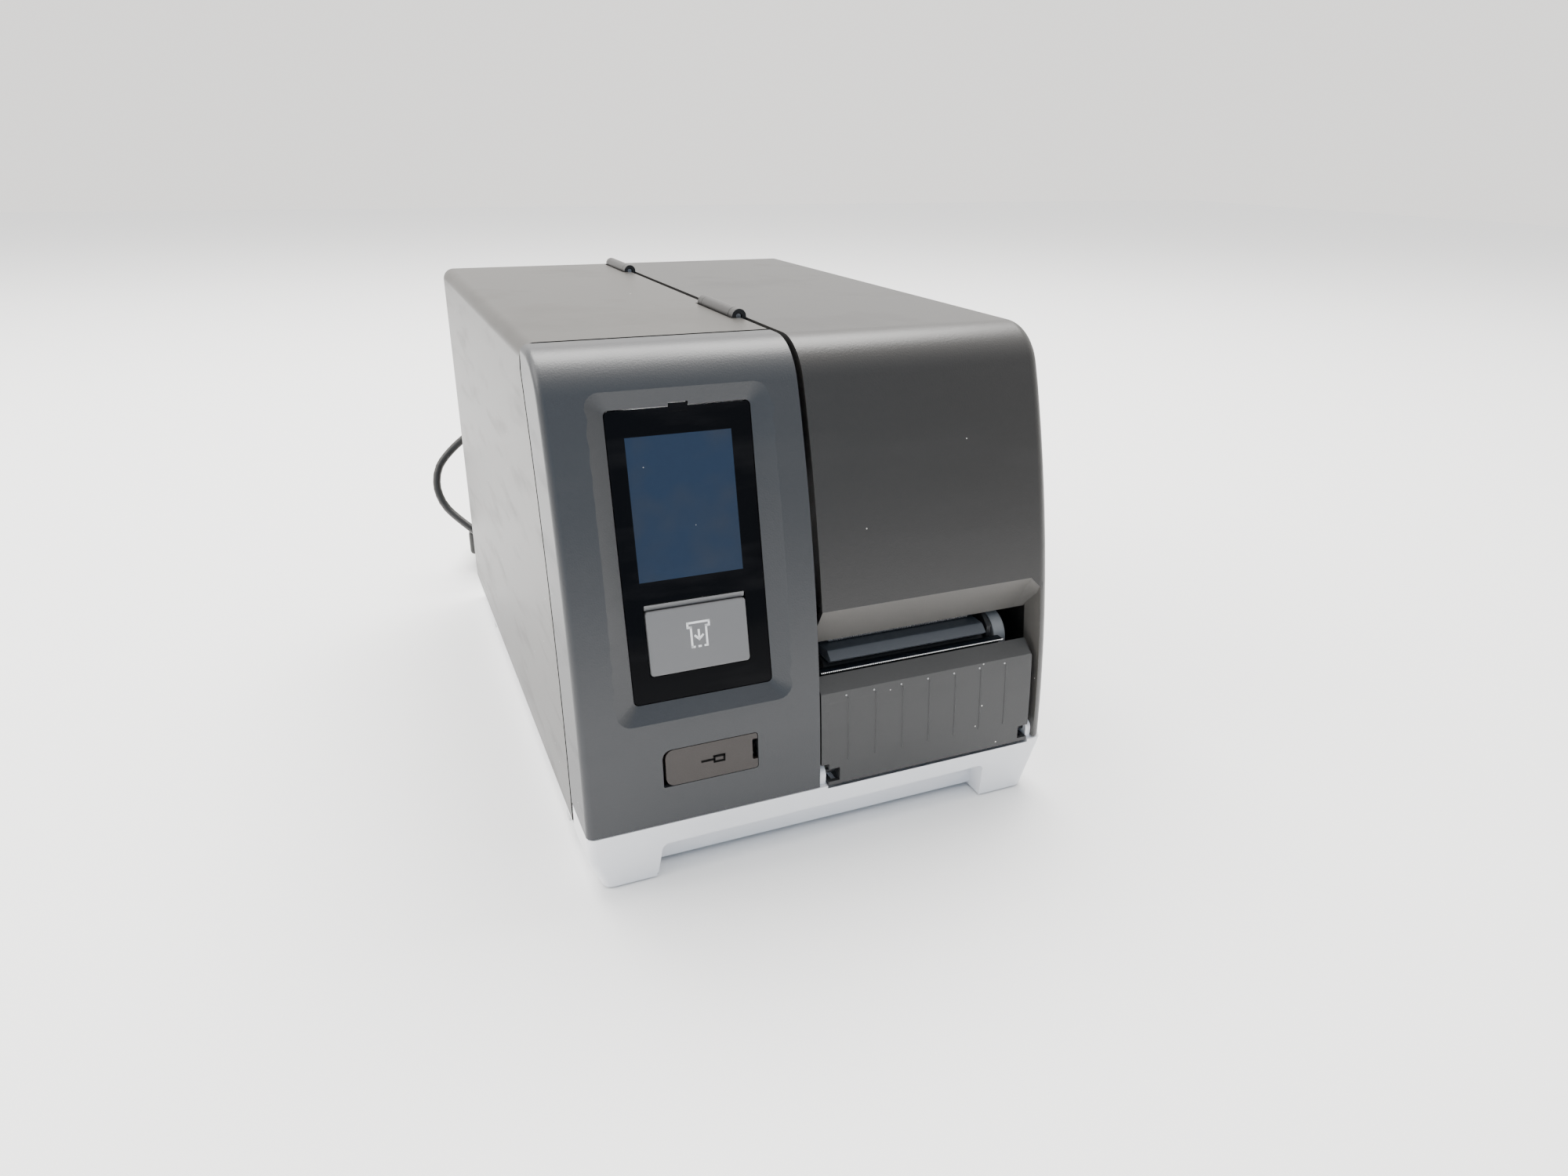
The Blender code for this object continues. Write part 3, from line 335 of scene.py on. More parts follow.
def modify(piece, kind, **settings):
    """Adds a modifier and applies it."""
    bpy.context.view_layer.objects.active = piece
    modifier = piece.modifiers.new(kind.lower(), kind)
    for name, value in settings.items():
        setattr(modifier, name, value)
    bpy.ops.object.modifier_apply(modifier=modifier.name)


def round_off(piece, width, segments=2, angle=35):
    """Rounds every edge that is sharper than an angle."""
    turn = math.radians(angle)
    modify(piece, "BEVEL", width=width * MM, segments=segments, limit_method="ANGLE", angle_limit=turn)


def cut(piece, *tools):
    """Takes tools off a piece."""
    for tool in tools:
        modify(piece, "BOOLEAN", operation="DIFFERENCE", object=tool, solver="EXACT")
        bpy.data.objects.remove(tool)
    return piece


def fuse(piece, *tools):
    """Makes a piece and tools that overlap it one solid."""
    for tool in tools:
        modify(piece, "BOOLEAN", operation="UNION", object=tool, solver="EXACT")
        bpy.data.objects.remove(tool)
    return piece


def join(piece, *others):
    """Puts separate solids in one piece, without a Boolean."""
    bpy.ops.object.select_all(action="DESELECT")
    for other in (piece, *others):
        other.select_set(True)
    bpy.context.view_layer.objects.active = piece
    bpy.ops.object.join()
    piece.select_set(False)
    return piece


def hand_over(piece, looks, body, slot, *nodes, angle=30):
    """Gives a finished piece its material, its shading and its body, and hides the nodes it stands for; the
    slot is not used.
    """
    if not piece.data.materials:
        piece.data.materials.append(looks)
    bpy.ops.object.select_all(action="DESELECT")
    piece.select_set(True)
    bpy.context.view_layer.objects.active = piece
    bpy.ops.object.shade_smooth_by_angle(angle=math.radians(angle))
    modify(piece, "WEIGHTED_NORMAL", keep_sharp=True)
    piece.select_set(False)
    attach(piece, body)
    if nodes:
        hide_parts(*nodes)
    return piece


# The appliance connector: a rubber-moulded block with a ribbed grip and a tapered strain relief, cut
# into rings so that it bends with the lead. The three contacts are inside its nose.
inlet_x, inlet_z = -110.0, 135.0
grip_low, grip_high = (inlet_x - 13.4, 211.6, inlet_z - 9.5), (inlet_x + 13.4, 231.0, inlet_z + 9.5)
connector = block("lead_connector", grip_low, grip_high)
round_off(connector, 2.6, 4)
nose = block("nose", (inlet_x - 12.0, 197.1, inlet_z - 8.2), (inlet_x + 12.0, 214.0, inlet_z + 8.2))
edit("EDGE")
choose("EDGE", lambda at, edge: at.y < 213 and abs(edge.verts[0].co.y - edge.verts[1].co.y) > 0.01)
bpy.ops.mesh.bevel(offset=2.0 * MM, segments=3)
done()
fuse(connector, nose)
for side in (-1, 1):
    for row in range(5):
        start = 214.5 + 3.1 * row
        low = (inlet_x + side * 13.3 - 0.7, start, inlet_z - 6)
        cut(connector, block("grip_groove", low, (low[0] + 1.4, start + 1.3, inlet_z + 6)))
relief = pillar("relief", "Y", (inlet_x, inlet_z), 6.9, 230.0, 253.6, 24, 4.5)
for ring in range(5):
    start = 234.0 + 3.9 * ring
    hole = pillar("ring_hole", "Y", (inlet_x, inlet_z), 3.9, start - 1, start + 3, 24)
    cut(relief, cut(pillar("ring_cut", "Y", (inlet_x, inlet_z), 9.0, start, start + 1.6, 24), hole))
join(connector, relief)
hand_over(connector, jacket, "chassis", "cord_rubber", "cord_connector")

# The mains plug lies on the coil: a moulded body with finger ridges, two flat blades and a round
# earth pin of nickel-plated brass, and a strain relief like the connector's.
plug_x, plug_z = -127.0, 26.8
plug = block("plug_body", (plug_x - 13.3, 271.2, plug_z - 11.6), (plug_x + 13.3, 301.8, plug_z + 11.6))
edit("VERT")
choose("VERT", lambda at, vertex: at.y > 300)
bpy.ops.transform.resize(value=(0.72, 1, 0.78), center_override=(plug_x * MM, 0, plug_z * MM))
done()
round_off(plug, 3.6, 4)
for side in (-1, 1):
    for row in range(4):
        start = 277.0 + 4.4 * row
        edge = plug_x + side * (13.0 - 0.11 * (start - 271))
        low = (edge - 0.8, start, plug_z - 5)
        cut(plug, block("ridge", low, (edge + 0.8, start + 1.8, plug_z + 5)))
relief = pillar("relief", "Y", (plug_x, plug_z), 8.0, 300.0, 316.0, 24, 4.5)
for ring in range(3):
    start = 304.0 + 4.0 * ring
    hole = pillar("ring_hole", "Y", (plug_x, plug_z), 4.0, start - 1, start + 3, 24)
    cut(relief, cut(pillar("ring_cut", "Y", (plug_x, plug_z), 9.5, start, start + 1.7, 24), hole))
join(plug, relief)
hand_over(plug, jacket, "chassis", "cord_rubber", "mains_plug")


def metal(name, colour, roughness, brush=(400.0, 400.0, 12.0), depth=0.05):
    """Bare metal: a brushed or rolled grain along one axis, with small changes of colour and gloss."""
    made, tree, shader = new_material(name)
    shader.inputs["Metallic"].default_value = 1.0
    place = tree.nodes.new("ShaderNodeTexCoord")
    along = add_node(tree, "ShaderNodeMapping", Vector=place.outputs["Object"], Scale=brush)
    lines = add_node(tree, "ShaderNodeTexNoise", Vector=along.outputs[0], Scale=4.0, Detail=4.0)
    darker, lighter = ([min(1, share * part) for part in colour] for share in (0.86, 1.1))
    tree.links.new(mix(tree, lines.outputs["Fac"], darker, lighter), shader.inputs["Base Color"])
    gloss = ranged(tree, lines.outputs["Fac"], roughness * 0.75, roughness * 1.25)
    tree.links.new(gloss.outputs["Result"], shader.inputs["Roughness"])
    bump = add_node(tree, "ShaderNodeBump", Height=lines.outputs["Fac"], Strength=depth, Distance=0.0003)
    tree.links.new(bump.outputs["Normal"], shader.inputs["Normal"])
    return made


steel = metal("brushed_steel", (0.56, 0.56, 0.57), 0.28)
blades = block("plug_blades", (plug_x - 7.1, 254.3, plug_z - 1.2), (plug_x - 5.6, 273.0, plug_z + 5.0))
other_blade = block("blade", (plug_x + 5.6, 254.3, plug_z - 1.2), (plug_x + 7.1, 273.0, plug_z + 5.0))
earth_pin = pillar("earth_pin", "Y", (plug_x, plug_z - 6.0), 2.3, 252.3, 273.0, 20)
join(blades, other_blade, earth_pin)
round_off(blades, 0.4, 2, 50)
hand_over(blades, steel, "chassis", "steel")
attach(mains_lead, "chassis")
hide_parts("power_cord", "cord_coil", "cord_tail")

# ---------- studio
# A plain pale table top in a white room: bright behind, above and at the sides, and dimmer in front of
# the printer, so that its front reads darker than its top.
bpy.ops.mesh.primitive_plane_add(size=12, location=(0, 0, 0))
table_top = settle("table_top")
table_paint, tree, shader = new_material("table_paint")
shader.inputs["Base Color"].default_value = (0.93, 0.93, 0.93, 1)
shader.inputs["Roughness"].default_value = 0.6
table_top.data.materials.append(table_paint)
table_top.select_set(False)
air = bpy.data.worlds.new("white_room")
air.use_nodes = True
sky = air.node_tree
around = sky.nodes.new("ShaderNodeTexCoord")
heading = add_node(sky, "ShaderNodeSeparateXYZ", Vector=around.outputs["Generated"])
behind = ranged(sky, heading.outputs["Y"], 0.66, 1.6, From_Min=-0.85, From_Max=0.25)
behind.interpolation_type = "SMOOTHSTEP"
overhead = ranged(sky, heading.outputs["Z"], 1.0, 1.5, From_Min=0.45, From_Max=0.95)
strength = calculate(sky, "MULTIPLY", behind.outputs["Result"], overhead.outputs["Result"])
across = ranged(sky, heading.outputs["X"], 0, 1, From_Min=0.25, From_Max=0.5)
forward = ranged(sky, heading.outputs["Y"], 0, 1, From_Min=-0.8, From_Max=-0.4)
neutral = calculate(sky, "MAXIMUM", across.outputs["Result"], forward.outputs["Result"])
room_tone = mix(sky, neutral, (0.62, 0.86, 1.15), (1.0, 0.98, 0.95))
sky.links.new(room_tone, sky.nodes["Background"].inputs["Color"])
sky.links.new(strength, sky.nodes["Background"].inputs["Strength"])
bpy.context.scene.world = air


def soft_light(name, place, aim, width, height, power, colour):
    """A large flat source that faces a point."""
    bpy.ops.object.light_add(type="AREA", location=place)
    light = bpy.context.object
    light.name = name
    light.data.shape = "RECTANGLE"
    light.data.size, light.data.size_y = width, height
    light.data.energy = power
    light.data.color = colour
    light.rotation_euler = (Vector(aim) - Vector(place)).to_track_quat("-Z", "Y").to_euler()
    light.select_set(False)


soft_light("window", (-2.3, 0.4, 1.9), (-0.2, 0.0, 0.1), 2.2, 1.8, 50.0, (1.0, 0.985, 0.96))
soft_light("ceiling", (0.3, 1.0, 2.6), (0.1, 0.0, 0), 2.8, 1.6, 200.0, (1.0, 0.985, 0.96))

# ---------- display bezel
# The left half of the front: one injection-moulded shell in graphite ABS, bowed in side view, with a
# funnel-shaped recess for the glass. It wraps round the left side, where the sheet cover meets it.
WALL = 3.0
LEFT, RIGHT, TOP = -142.0, 142.0, 275.6
FRONT, FRONT_LOWEST, BOW = -212.0, 13.4, 1418.0  # the front's furthest line, its height and twice its radius
FRONT_TOP, BROW_FROM, BROW_RADIUS = 255.2, 161.3, 30.0  # where the front goes over into the round brow
BEZEL_EDGE, SEAM_DEPTH, SEAM_TOP = -9.2, 38.0, 262.0


def arc(centre, radius, start, end, steps):
    """Points on an arc, from one angle to another in degrees."""
    turns = [math.radians(start + (end - start) * step / steps) for step in range(steps + 1)]
    return [(centre[0] + radius * math.cos(turn), centre[1] + radius * math.sin(turn)) for turn in turns]


def front_y(z):
    """How far forward the casing's bowed front is at a height."""
    return FRONT + (z - FRONT_LOWEST) ** 2 / BOW


def front_rise(low, inset=0.0, steps=20, high=FRONT_TOP):
    """The front in side view, between two heights."""
    heights = [low + (high - low) * step / steps for step in range(steps + 1)]
    return [(front_y(height) + inset, height) for height in heights]


def front_and_top(low, back, inset=0.0):
    """The front, the round brow and the flat top in side view, ending at back."""
    brow = arc((-142.1, TOP - BROW_RADIUS), BROW_RADIUS - inset, BROW_FROM, 90, 14)
    return [*front_rise(low, inset)[:-1], *brow, (back, TOP - inset)]


def loft(name, near, far):
    """A solid between two outlines that have as many points, shaped from a cylinder."""
    bpy.ops.mesh.primitive_cylinder_add(vertices=len(near), radius=0.01, depth=0.01)
    piece = settle(name)
    for index, vertex in enumerate(piece.data.vertices):
        vertex.co = Vector((near, far)[index % 2][index // 2]) * MM
    edit()
    bpy.ops.mesh.select_all(action="SELECT")
    bpy.ops.mesh.normals_make_consistent(inside=False)
    done()
    return piece


def slab(name, axis, outline, start, end):
    """A flat outline, drawn across an axis, made solid along it."""
    place = {"X": lambda p, at: (at, *p), "Y": lambda p, at: (p[0], at, p[1]), "Z": lambda p, at: (*p, at)}
    return loft(name, *([place[axis](point, at) for point in outline] for at in (start, end)))


def rounded(left, right, low, high, *radii, steps=5):
    """A rectangle with round corners: lower left, lower right, upper right and upper left."""
    radii = radii * 4 if len(radii) == 1 else radii
    corners = [(left, low, 1, 1), (right, low, -1, 1), (right, high, -1, -1), (left, high, 1, -1)]
    points = []
    for quarter, ((x, z, inward, up), radius) in enumerate(zip(corners, radii)):
        centre = (x + inward * radius, z + up * radius)
        points += arc(centre, radius, 180 + 90 * quarter, 270 + 90 * quarter, steps)
    return points


GLASS_TILT = math.radians(12.83)
GLASS_X, GLASS_Y, GLASS_Z = -73.25, -186.25, 175.15
ON_GLASS = Matrix.Translation(Vector((GLASS_X, GLASS_Y, GLASS_Z)) * MM) @ Matrix.Rotation(-GLASS_TILT, 4, "X")
GLASS_HALF, GLASS_TALL = 37.75, 74.3
FLAP_LEFT, FLAP_RIGHT, FLAP_LOW, FLAP_HIGH = -98.0, -46.4, 55.6, 76.3
GAP, FLAP_SWEEP = 0.4, 1.6  # clearance between neighbours, and the room that the flap needs to turn


def tilted(piece):
    """Moves a piece from the glass's own directions (across, inwards and up) to its place."""
    piece.data.transform(ON_GLASS)
    return piece


def bevel_edges(width, segments, test):
    """Rounds the sharp edges of the active piece whose middle passes a test."""
    edit("EDGE")
    sharp = math.radians(35)
    choose("EDGE", lambda at, edge: edge.calc_face_angle(0) > sharp and test(at))
    bpy.ops.mesh.bevel(offset=width * MM, segments=segments, profile=0.5, clamp_overlap=True)
    done()


seam = front_rise(33.5, SEAM_DEPTH, 16, SEAM_TOP)
bezel = slab("bezel_shell", "X", [*front_and_top(33.5, -133.0), *reversed(seam)], LEFT, BEZEL_EDGE)
bevel_edges(4.0, 8, lambda at: at.x < LEFT + 1 and at.y < front_y(at.z) + 30 and at.z > 34)
cut(
    bezel,
    slab("inside", "X", [*front_and_top(20.0, -90.0, WALL), (-90.0, 20.0)], LEFT + WALL, BEZEL_EDGE - WALL),
    slab("return", "X", [*front_rise(20.0, 12.0, 12, SEAM_TOP), (-80, 262), (-80, 20)], BEZEL_EDGE - 4, 5),
)
hole_half, hole_tall = GLASS_HALF + GAP, GLASS_TALL + GAP
SLOPE = 10.0  # width of the recess's slope, from the glass to the bowed front
HOLE_CORNER, RECESS_CORNER = 2.8, 8.0
LONG_SIDE = 40.0


def with_points(outline, steps_along):
    """An outline with points added along its long sides."""
    points = []
    for start, end in zip(outline, [*outline[1:], outline[0]]):
        run = Vector(end) - Vector(start)
        steps = steps_along if run.length > LONG_SIDE else 1
        points += [tuple(Vector(start) + run * step / steps) for step in range(steps)]
    return points


def recess_ring(reach):
    """An outline of the recess at a reach in front of the glass; its slope is as wide all round."""
    half, tall = hole_half + SLOPE, hole_tall + SLOPE
    inner = with_points(rounded(-hole_half, hole_half, -hole_tall, hole_tall, HOLE_CORNER), 12)
    outer = with_points(rounded(-half, half, -tall, tall, RECESS_CORNER), 12)
    ring = []
    for near, far in zip(inner, outer):
        height = GLASS_Z + far[1] * math.cos(GLASS_TILT)
        plane = GLASS_Y + (height - GLASS_Z) * math.tan(GLASS_TILT)
        depth = (plane - front_y(height)) * math.cos(GLASS_TILT)
        x, z = Vector(near).lerp(Vector(far), reach / depth)
        ring.append((x, -reach, z))
    return ring


# The block behind the glass: flat at its back, and bowed at its front, inside the shell's wall.
block_back = [ON_GLASS @ (Vector((0, 3.6, end)) * MM) / MM for end in (85.0, -86.0)]
block_side = front_rise(block_back[1].z, 1.5, 12, block_back[0].z)
block_side += [(corner.y, corner.z) for corner in block_back]
fuse(bezel, slab("glass_frame", "X", block_side, -124.5, -22.0))
hole = rounded(-hole_half, hole_half, -hole_tall, hole_tall, HOLE_CORNER)
flap_room = (FLAP_LEFT - FLAP_SWEEP, FLAP_RIGHT + GAP, FLAP_LOW - GAP, FLAP_HIGH + GAP)
cut(
    bezel,
    tilted(loft("recess", recess_ring(0), recess_ring(11.0))),
    tilted(slab("glass_hole", "Y", hole, -1.0, 20.0)),
    tilted(block("tab_notch", (-5.1, -0.7, 70.0), (5.1, 4.0, 76.4))),
    slab("flap_hole", "Y", rounded(*flap_room, 0.8, 1.9, 1.9, 5.0), -225.0, -190.0),
)
round_off(bezel, 0.8, 3, 19)
bezel_plastic = moulded("bezel_plastic", (0.033, 0.035, 0.039), 0.36, grain=1100.0, depth=0.2, dust=0.004)
# Painted shade: a near-black material for faces in gaps and thin edges that lie in shadow, standing in for
# the shade there.
painted_shade_black = moulded("painted_shade_black", (0.004, 0.004, 0.004), 0.7, dust=0.0, Specular_IOR_Level=0.06)


def two_looks(piece, looks, other, chosen):
    """Gives a piece its main material, and another one to the faces that are chosen."""
    piece.data.materials.append(looks)
    piece.data.materials.append(other)
    for face in piece.data.polygons:
        face.material_index = int(chosen(face.center / MM, face.normal))


def round_the_glass(middle, normal):
    """Whether a face of the bezel is in the thin edge round the glass, which stays in shadow."""
    x, y, z = ON_GLASS.inverted() @ (middle * MM) / MM
    return abs(x) < hole_half + 0.7 and abs(z) < hole_tall + 2.5 and y > -0.75


# The thin edge round the glass gets the near-black material: painted shade.
two_looks(bezel, bezel_plastic, painted_shade_black, round_the_glass)
hand_over(bezel, bezel_plastic, "chassis", "cover_plastic", "display_bezel", angle=14)

# ---------- glass and button
# The touch panel: a sheet of cover glass, printed black behind except for the window over the
# liquid-crystal display, which is off. The feed button stands in a slot cut in the glass.
glass = slab("cover_glass", "Y", rounded(-GLASS_HALF, GLASS_HALF, -GLASS_TALL, GLASS_TALL, 2.5), 0.0, 1.8)
fuse(glass, block("glass_tab", (-4.8, -0.4, 72.0), (4.8, 1.5, 76.0)))
cut(glass, slab("button_slot", "Y", rounded(-28.2, 26.7, -60.95, -23.0, 1.8), -5.0, 9.0))
round_off(glass, 0.3, 3, 50)
SCREEN_LEFT, SCREEN_RIGHT, SCREEN_LOW, SCREEN_HIGH = -28.75, 26.75, -11.6, 60.9
ACROSS, UPWARD = (1, 0, 0), (0, 0, 1)
edges = [(SCREEN_LEFT, ACROSS), (SCREEN_RIGHT, ACROSS), (SCREEN_LOW, UPWARD), (SCREEN_HIGH, UPWARD)]
edit()
for edge, normal in edges:
    bpy.ops.mesh.select_all(action="SELECT")
    bpy.ops.mesh.bisect(plane_co=Vector(normal) * edge * MM, plane_no=normal)
done()


def glossy(name, specular, roughness=0.06):
    """Polished glass or clear plastic with thin dust and finger smears; its colour is added after."""
    made, tree, shader = new_material(name)
    shader.inputs["Specular IOR Level"].default_value = specular
    dirt = place_effect(tree, dust_tree, Scale=330.0, Amount=0.008)
    worn = ranged(tree, dirt["Smears"], roughness, roughness * 3.5)
    tree.links.new(worn.outputs["Result"], shader.inputs["Roughness"])
    return made, tree, shader, dirt


black_glass, tree, shader, dirt = glossy("black_glass", 0.05)
tint = mix(tree, dirt["Smears"], (0.003, 0.0032, 0.004), (0.009, 0.009, 0.01))
tree.links.new(mix(tree, dirt["Specks"], tint, (0.35, 0.34, 0.32)), shader.inputs["Base Color"])
screen_glass, tree, shader, dirt = glossy("screen_glass", 0.12, 0.08)
place = tree.nodes["place"].outputs["Object"]
# A diagonal ramp from deep blue to paler grey-blue across the window, which is off: painted reflection on the
# screen.
centred = add_node(tree, "ShaderNodeMapping", Vector=place)
centred.inputs["Location"].default_value = (1.44, 0, -1.72)
centred.inputs["Scale"].default_value = (14.0, 0, -9.0)
slope = add_node(tree, "ShaderNodeSeparateXYZ", Vector=centred.outputs[0])
total = calculate(tree, "ADD", slope.outputs["X"], slope.outputs["Z"])
run = ranged(tree, total, 0, 1, From_Min=-0.6, From_Max=1.1)
patch = add_node(tree, "ShaderNodeTexNoise", Vector=place, Scale=34.0, Detail=2.0)
tone = mix(tree, run.outputs["Result"], (0.02, 0.034, 0.062), (0.045, 0.05, 0.062))
cloudy = ranged(tree, patch.outputs["Fac"], 0, 1, From_Min=0.45, From_Max=0.75)
tone = mix(tree, cloudy.outputs["Result"], tone, (0.03, 0.038, 0.056))
tree.links.new(mix(tree, dirt["Specks"], tone, (0.4, 0.4, 0.4)), shader.inputs["Base Color"])


def on_screen(middle, normal):
    """Whether a face of the glass is the clear window over the display."""
    inside = SCREEN_LEFT < middle.x < SCREEN_RIGHT and SCREEN_LOW < middle.z < SCREEN_HIGH
    return inside and normal.y < -0.9


two_looks(glass, black_glass, screen_glass, on_screen)
hand_over(tilted(glass), black_glass, "chassis", "black_glass", "display_glass", angle=25)

button_grey = moulded("button_grey", (0.15, 0.15, 0.153), 0.42, grain=1300.0, depth=0.08)
button = slab("feed_key", "Y", rounded(-27.75, 26.25, -60.5, -26.6, 1.6), -1.2, 4.2)
round_off(button, 0.7, 4, 50)
hand_over(tilted(button), button_grey, "feed_button", "button_plastic", "feed_button")
ledge = slab("button_ledge", "X", [(-0.2, -23.4), (1.5, -23.4), (3.0, -26.2), (0.9, -26.2)], -27.7, 26.2)
round_off(ledge, 0.25, 2, 40)
hand_over(tilted(ledge), button_grey, "chassis", "button_plastic")


def line(name, start, end, width, front, back):
    """A straight printed line on an upright face, between two points (across and up)."""
    run = Vector(end) - Vector(start)
    side = Vector((-run.y, run.x)).normalized() * width / 2
    corners = [Vector(start) - side, Vector(end) - side, Vector(end) + side, Vector(start) + side]
    return slab(name, "Y", [tuple(corner) for corner in corners], front, back)


icon_x, icon_z = -0.6, -42.0
strokes = [
    ((-6.3, 6.4), (6.3, 6.4)),
    ((-5.8, 6.9), (-5.8, 3.8)),
    ((5.8, 6.9), (5.8, 3.8)),
    ((-6.3, 4.1), (-3.6, 4.1)),
    ((6.3, 4.1), (3.6, 4.1)),
    ((-4.1, 4.6), (-4.1, -6.9)),
    ((4.1, 4.6), (4.1, -6.9)),
    ((-4.6, -6.4), (-2.4, -6.4)),
    ((4.6, -6.4), (2.4, -6.4)),
    ((-0.9, -6.4), (0.9, -6.4)),
    ((0, 2.6), (0, -2.6)),
    ((-2.4, -0.3), (0.3, -3.0)),
    ((2.4, -0.3), (-0.3, -3.0)),
]
inks = []
for (x1, z1), (x2, z2) in strokes:
    start, end = (icon_x + x1, icon_z + z1), (icon_x + x2, icon_z + z2)
    inks.append(line("feed_icon", start, end, 1.1, -1.235, -1.15))
icon = join(*inks)
white_ink = moulded("white_ink", (0.82, 0.82, 0.82), 0.5, grain=2200.0, depth=0.04, dust=0.0)
hand_over(tilted(icon), white_ink, "feed_button", "button_plastic")

# ---------- port cover
# A small moulded flap, flush with the bowed front, over a service port. It turns on its left edge
# and has a slot at its right edge for a fingernail.
bowed = [*front_rise(50, 0, 8, 80), *reversed(front_rise(50, 2.2, 8, 80))]
flap = slab("port_cover", "X", bowed, FLAP_LEFT, FLAP_RIGHT)
outline = rounded(FLAP_LEFT, FLAP_RIGHT, FLAP_LOW, FLAP_HIGH, 4.6, 1.5, 1.5, 4.6)
mould = slab("flap_outline", "Y", outline, -230, -190)
modify(flap, "BOOLEAN", operation="INTERSECT", object=mould, solver="EXACT")
bpy.data.objects.remove(mould)
cut(flap, slab("nail_slot", "Y", rounded(-49.4, -40.0, 61.0, 73.0, 0.8), -225, -190))
round_off(flap, 0.35, 2, 40)
flap_plastic = moulded("flap_plastic", (0.028, 0.021, 0.018), 0.36, grain=1100.0, depth=0.2, dust=0.004)
hand_over(flap, flap_plastic, "usb_cover", "cover_plastic", "usb_cover", angle=20)
# The port's mark is drawn as thin near-black strokes on the flap: painted shade for a mark that is sunk into
# the moulding.
face_y = front_y(66.0)
marks = []
for start, end in (
    ((-78.5, 66.0), (-71.0, 66.0)),
    ((-71.2, 63.9), (-71.2, 68.1)),
    ((-71.2, 67.6), (-65.3, 67.6)),
    ((-71.2, 64.4), (-65.3, 64.4)),
    ((-65.6, 63.9), (-65.6, 68.1)),
):
    marks.append(line("port_mark", start, end, 1.0, face_y - 0.35, face_y + 0.5))
groove_shade = moulded("painted_groove_shade", (0.004, 0.004, 0.004), 0.7, dust=0.0, Specular_IOR_Level=0.06)
hand_over(join(*marks), groove_shade, "usb_cover", "cover_plastic")

# ---------- media cover
# The lift-up cover over the media bay: one large moulding with the top, the right side and the upper
# front. Its front turns in under itself above the label exit, and a leg runs down at the right.
COVER_EDGE, REAR = -5.8, 212.0
HINGES = {"front": (-88.0, -26.0), "rear": (150.0, 208.0)}
HINGE_X, HINGE_Z, HINGE_RADIUS = -10.0, 276.2, 4.3
KNUCKLE, PIN_HOLE = 7.0, 1.9  # length of a knuckle, and radius of the hole for a pin
MOUTH_TOP = 137.0
lid = slab("lid_shell", "X", [*front_and_top(34.0, REAR), (REAR, 34.0)], COVER_EDGE, RIGHT)
bevel_edges(8.0, 10, lambda at: at.x > RIGHT - 1 and at.y < REAR - 1 and at.z > 34.5)
mouth = [(-30.0, -10.0), (134.8, -10.0), (134.8, 130.4), (128.2, MOUTH_TOP), (-30.0, MOUTH_TOP)]
cut(
    lid,
    slab("inside", "X", [*front_and_top(10.0, 240.0, WALL), (240.0, 10.0)], -30.0, RIGHT - WALL),
    slab("mouth", "Y", mouth, -240.0, -180.0),
)


def lip_at(x, drop):
    """The turned-in lip in side view, at a place across; its front edge drops towards the leg."""
    top = MOUTH_TOP - drop
    front = front_y(top)
    shape = [(front + 0.3, top - 0.4), (front + 0.9, top + 4), (front + 2.4, top + 4), (-183.0, 113.0)]
    return [(x, y, z) for y, z in (*shape, (-186.0, 111.6))]


leg = [*front_rise(34.2, 2.6, 12, 150.0), *reversed(front_rise(34.2, 16.0, 12, 150.0))]
rim = [*front_and_top(138.0, 204.6, 0.8), *reversed(front_and_top(138.0, 204.6, 12.0))]
fuse(
    lid,
    loft("lip", lip_at(COVER_EDGE + 0.3, 0), lip_at(128.6, 0)),
    loft("lip_end", lip_at(128.5, 0), lip_at(136.4, 8.0)),
    slab("leg", "X", leg, 134.9, 139.6),
    slab("rim", "X", rim, COVER_EDGE + 0.3, COVER_EDGE + 2.6),
)
cut(lid, slab("window_hole", "X", rounded(-88.0, 108.0, 92.0, 214.0, 8.0), 130.0, 150.0))
knuckles = []
for name, (start, end) in HINGES.items():
    cut(lid, block("hinge_notch", (-20, start + KNUCKLE, 260), (-5, end - KNUCKLE, 290)))
    for low in (start, end - KNUCKLE):
        knuckles.append(pillar("knuckle", "Y", (HINGE_X, HINGE_Z), HINGE_RADIUS, low, low + KNUCKLE, 32))
        web = block("web", (-9.4, low + 0.3, 273.0), (-5.4, low + 6.7, 275.2))
        knuckles[-1] = fuse(knuckles[-1], web)
        cut(knuckles[-1], pillar("bore", "Y", (HINGE_X, HINGE_Z), PIN_HOLE, low - 2, low + 9, 20))
round_off(lid, 0.6, 3, 32)
lid_plastic = moulded("lid_plastic", (0.022, 0.021, 0.0205), 0.36, grain=1100.0, depth=0.2, dust=0.004)
# A paler copy of the cover's plastic, for the lip and the leg's inner side: painted light, in place of the
# light these faces get from the bright table.
lip_painted_light = moulded("lip_painted_light", (0.11, 0.105, 0.098), 0.42, grain=1100.0, depth=0.15, dust=0.004)


def mouth_painted_light(middle, normal):
    """Whether a face looks down or inwards at the mouth, where a paler copy of the cover's plastic stands in
    as painted light.
    """
    lip = normal.z < -0.2 and middle.y < -184 and 111 < middle.z < MOUTH_TOP + 0.2
    leg_side = normal.x < -0.7 and middle.x > 134 and middle.y < -180 and middle.z < MOUTH_TOP
    return lip or leg_side


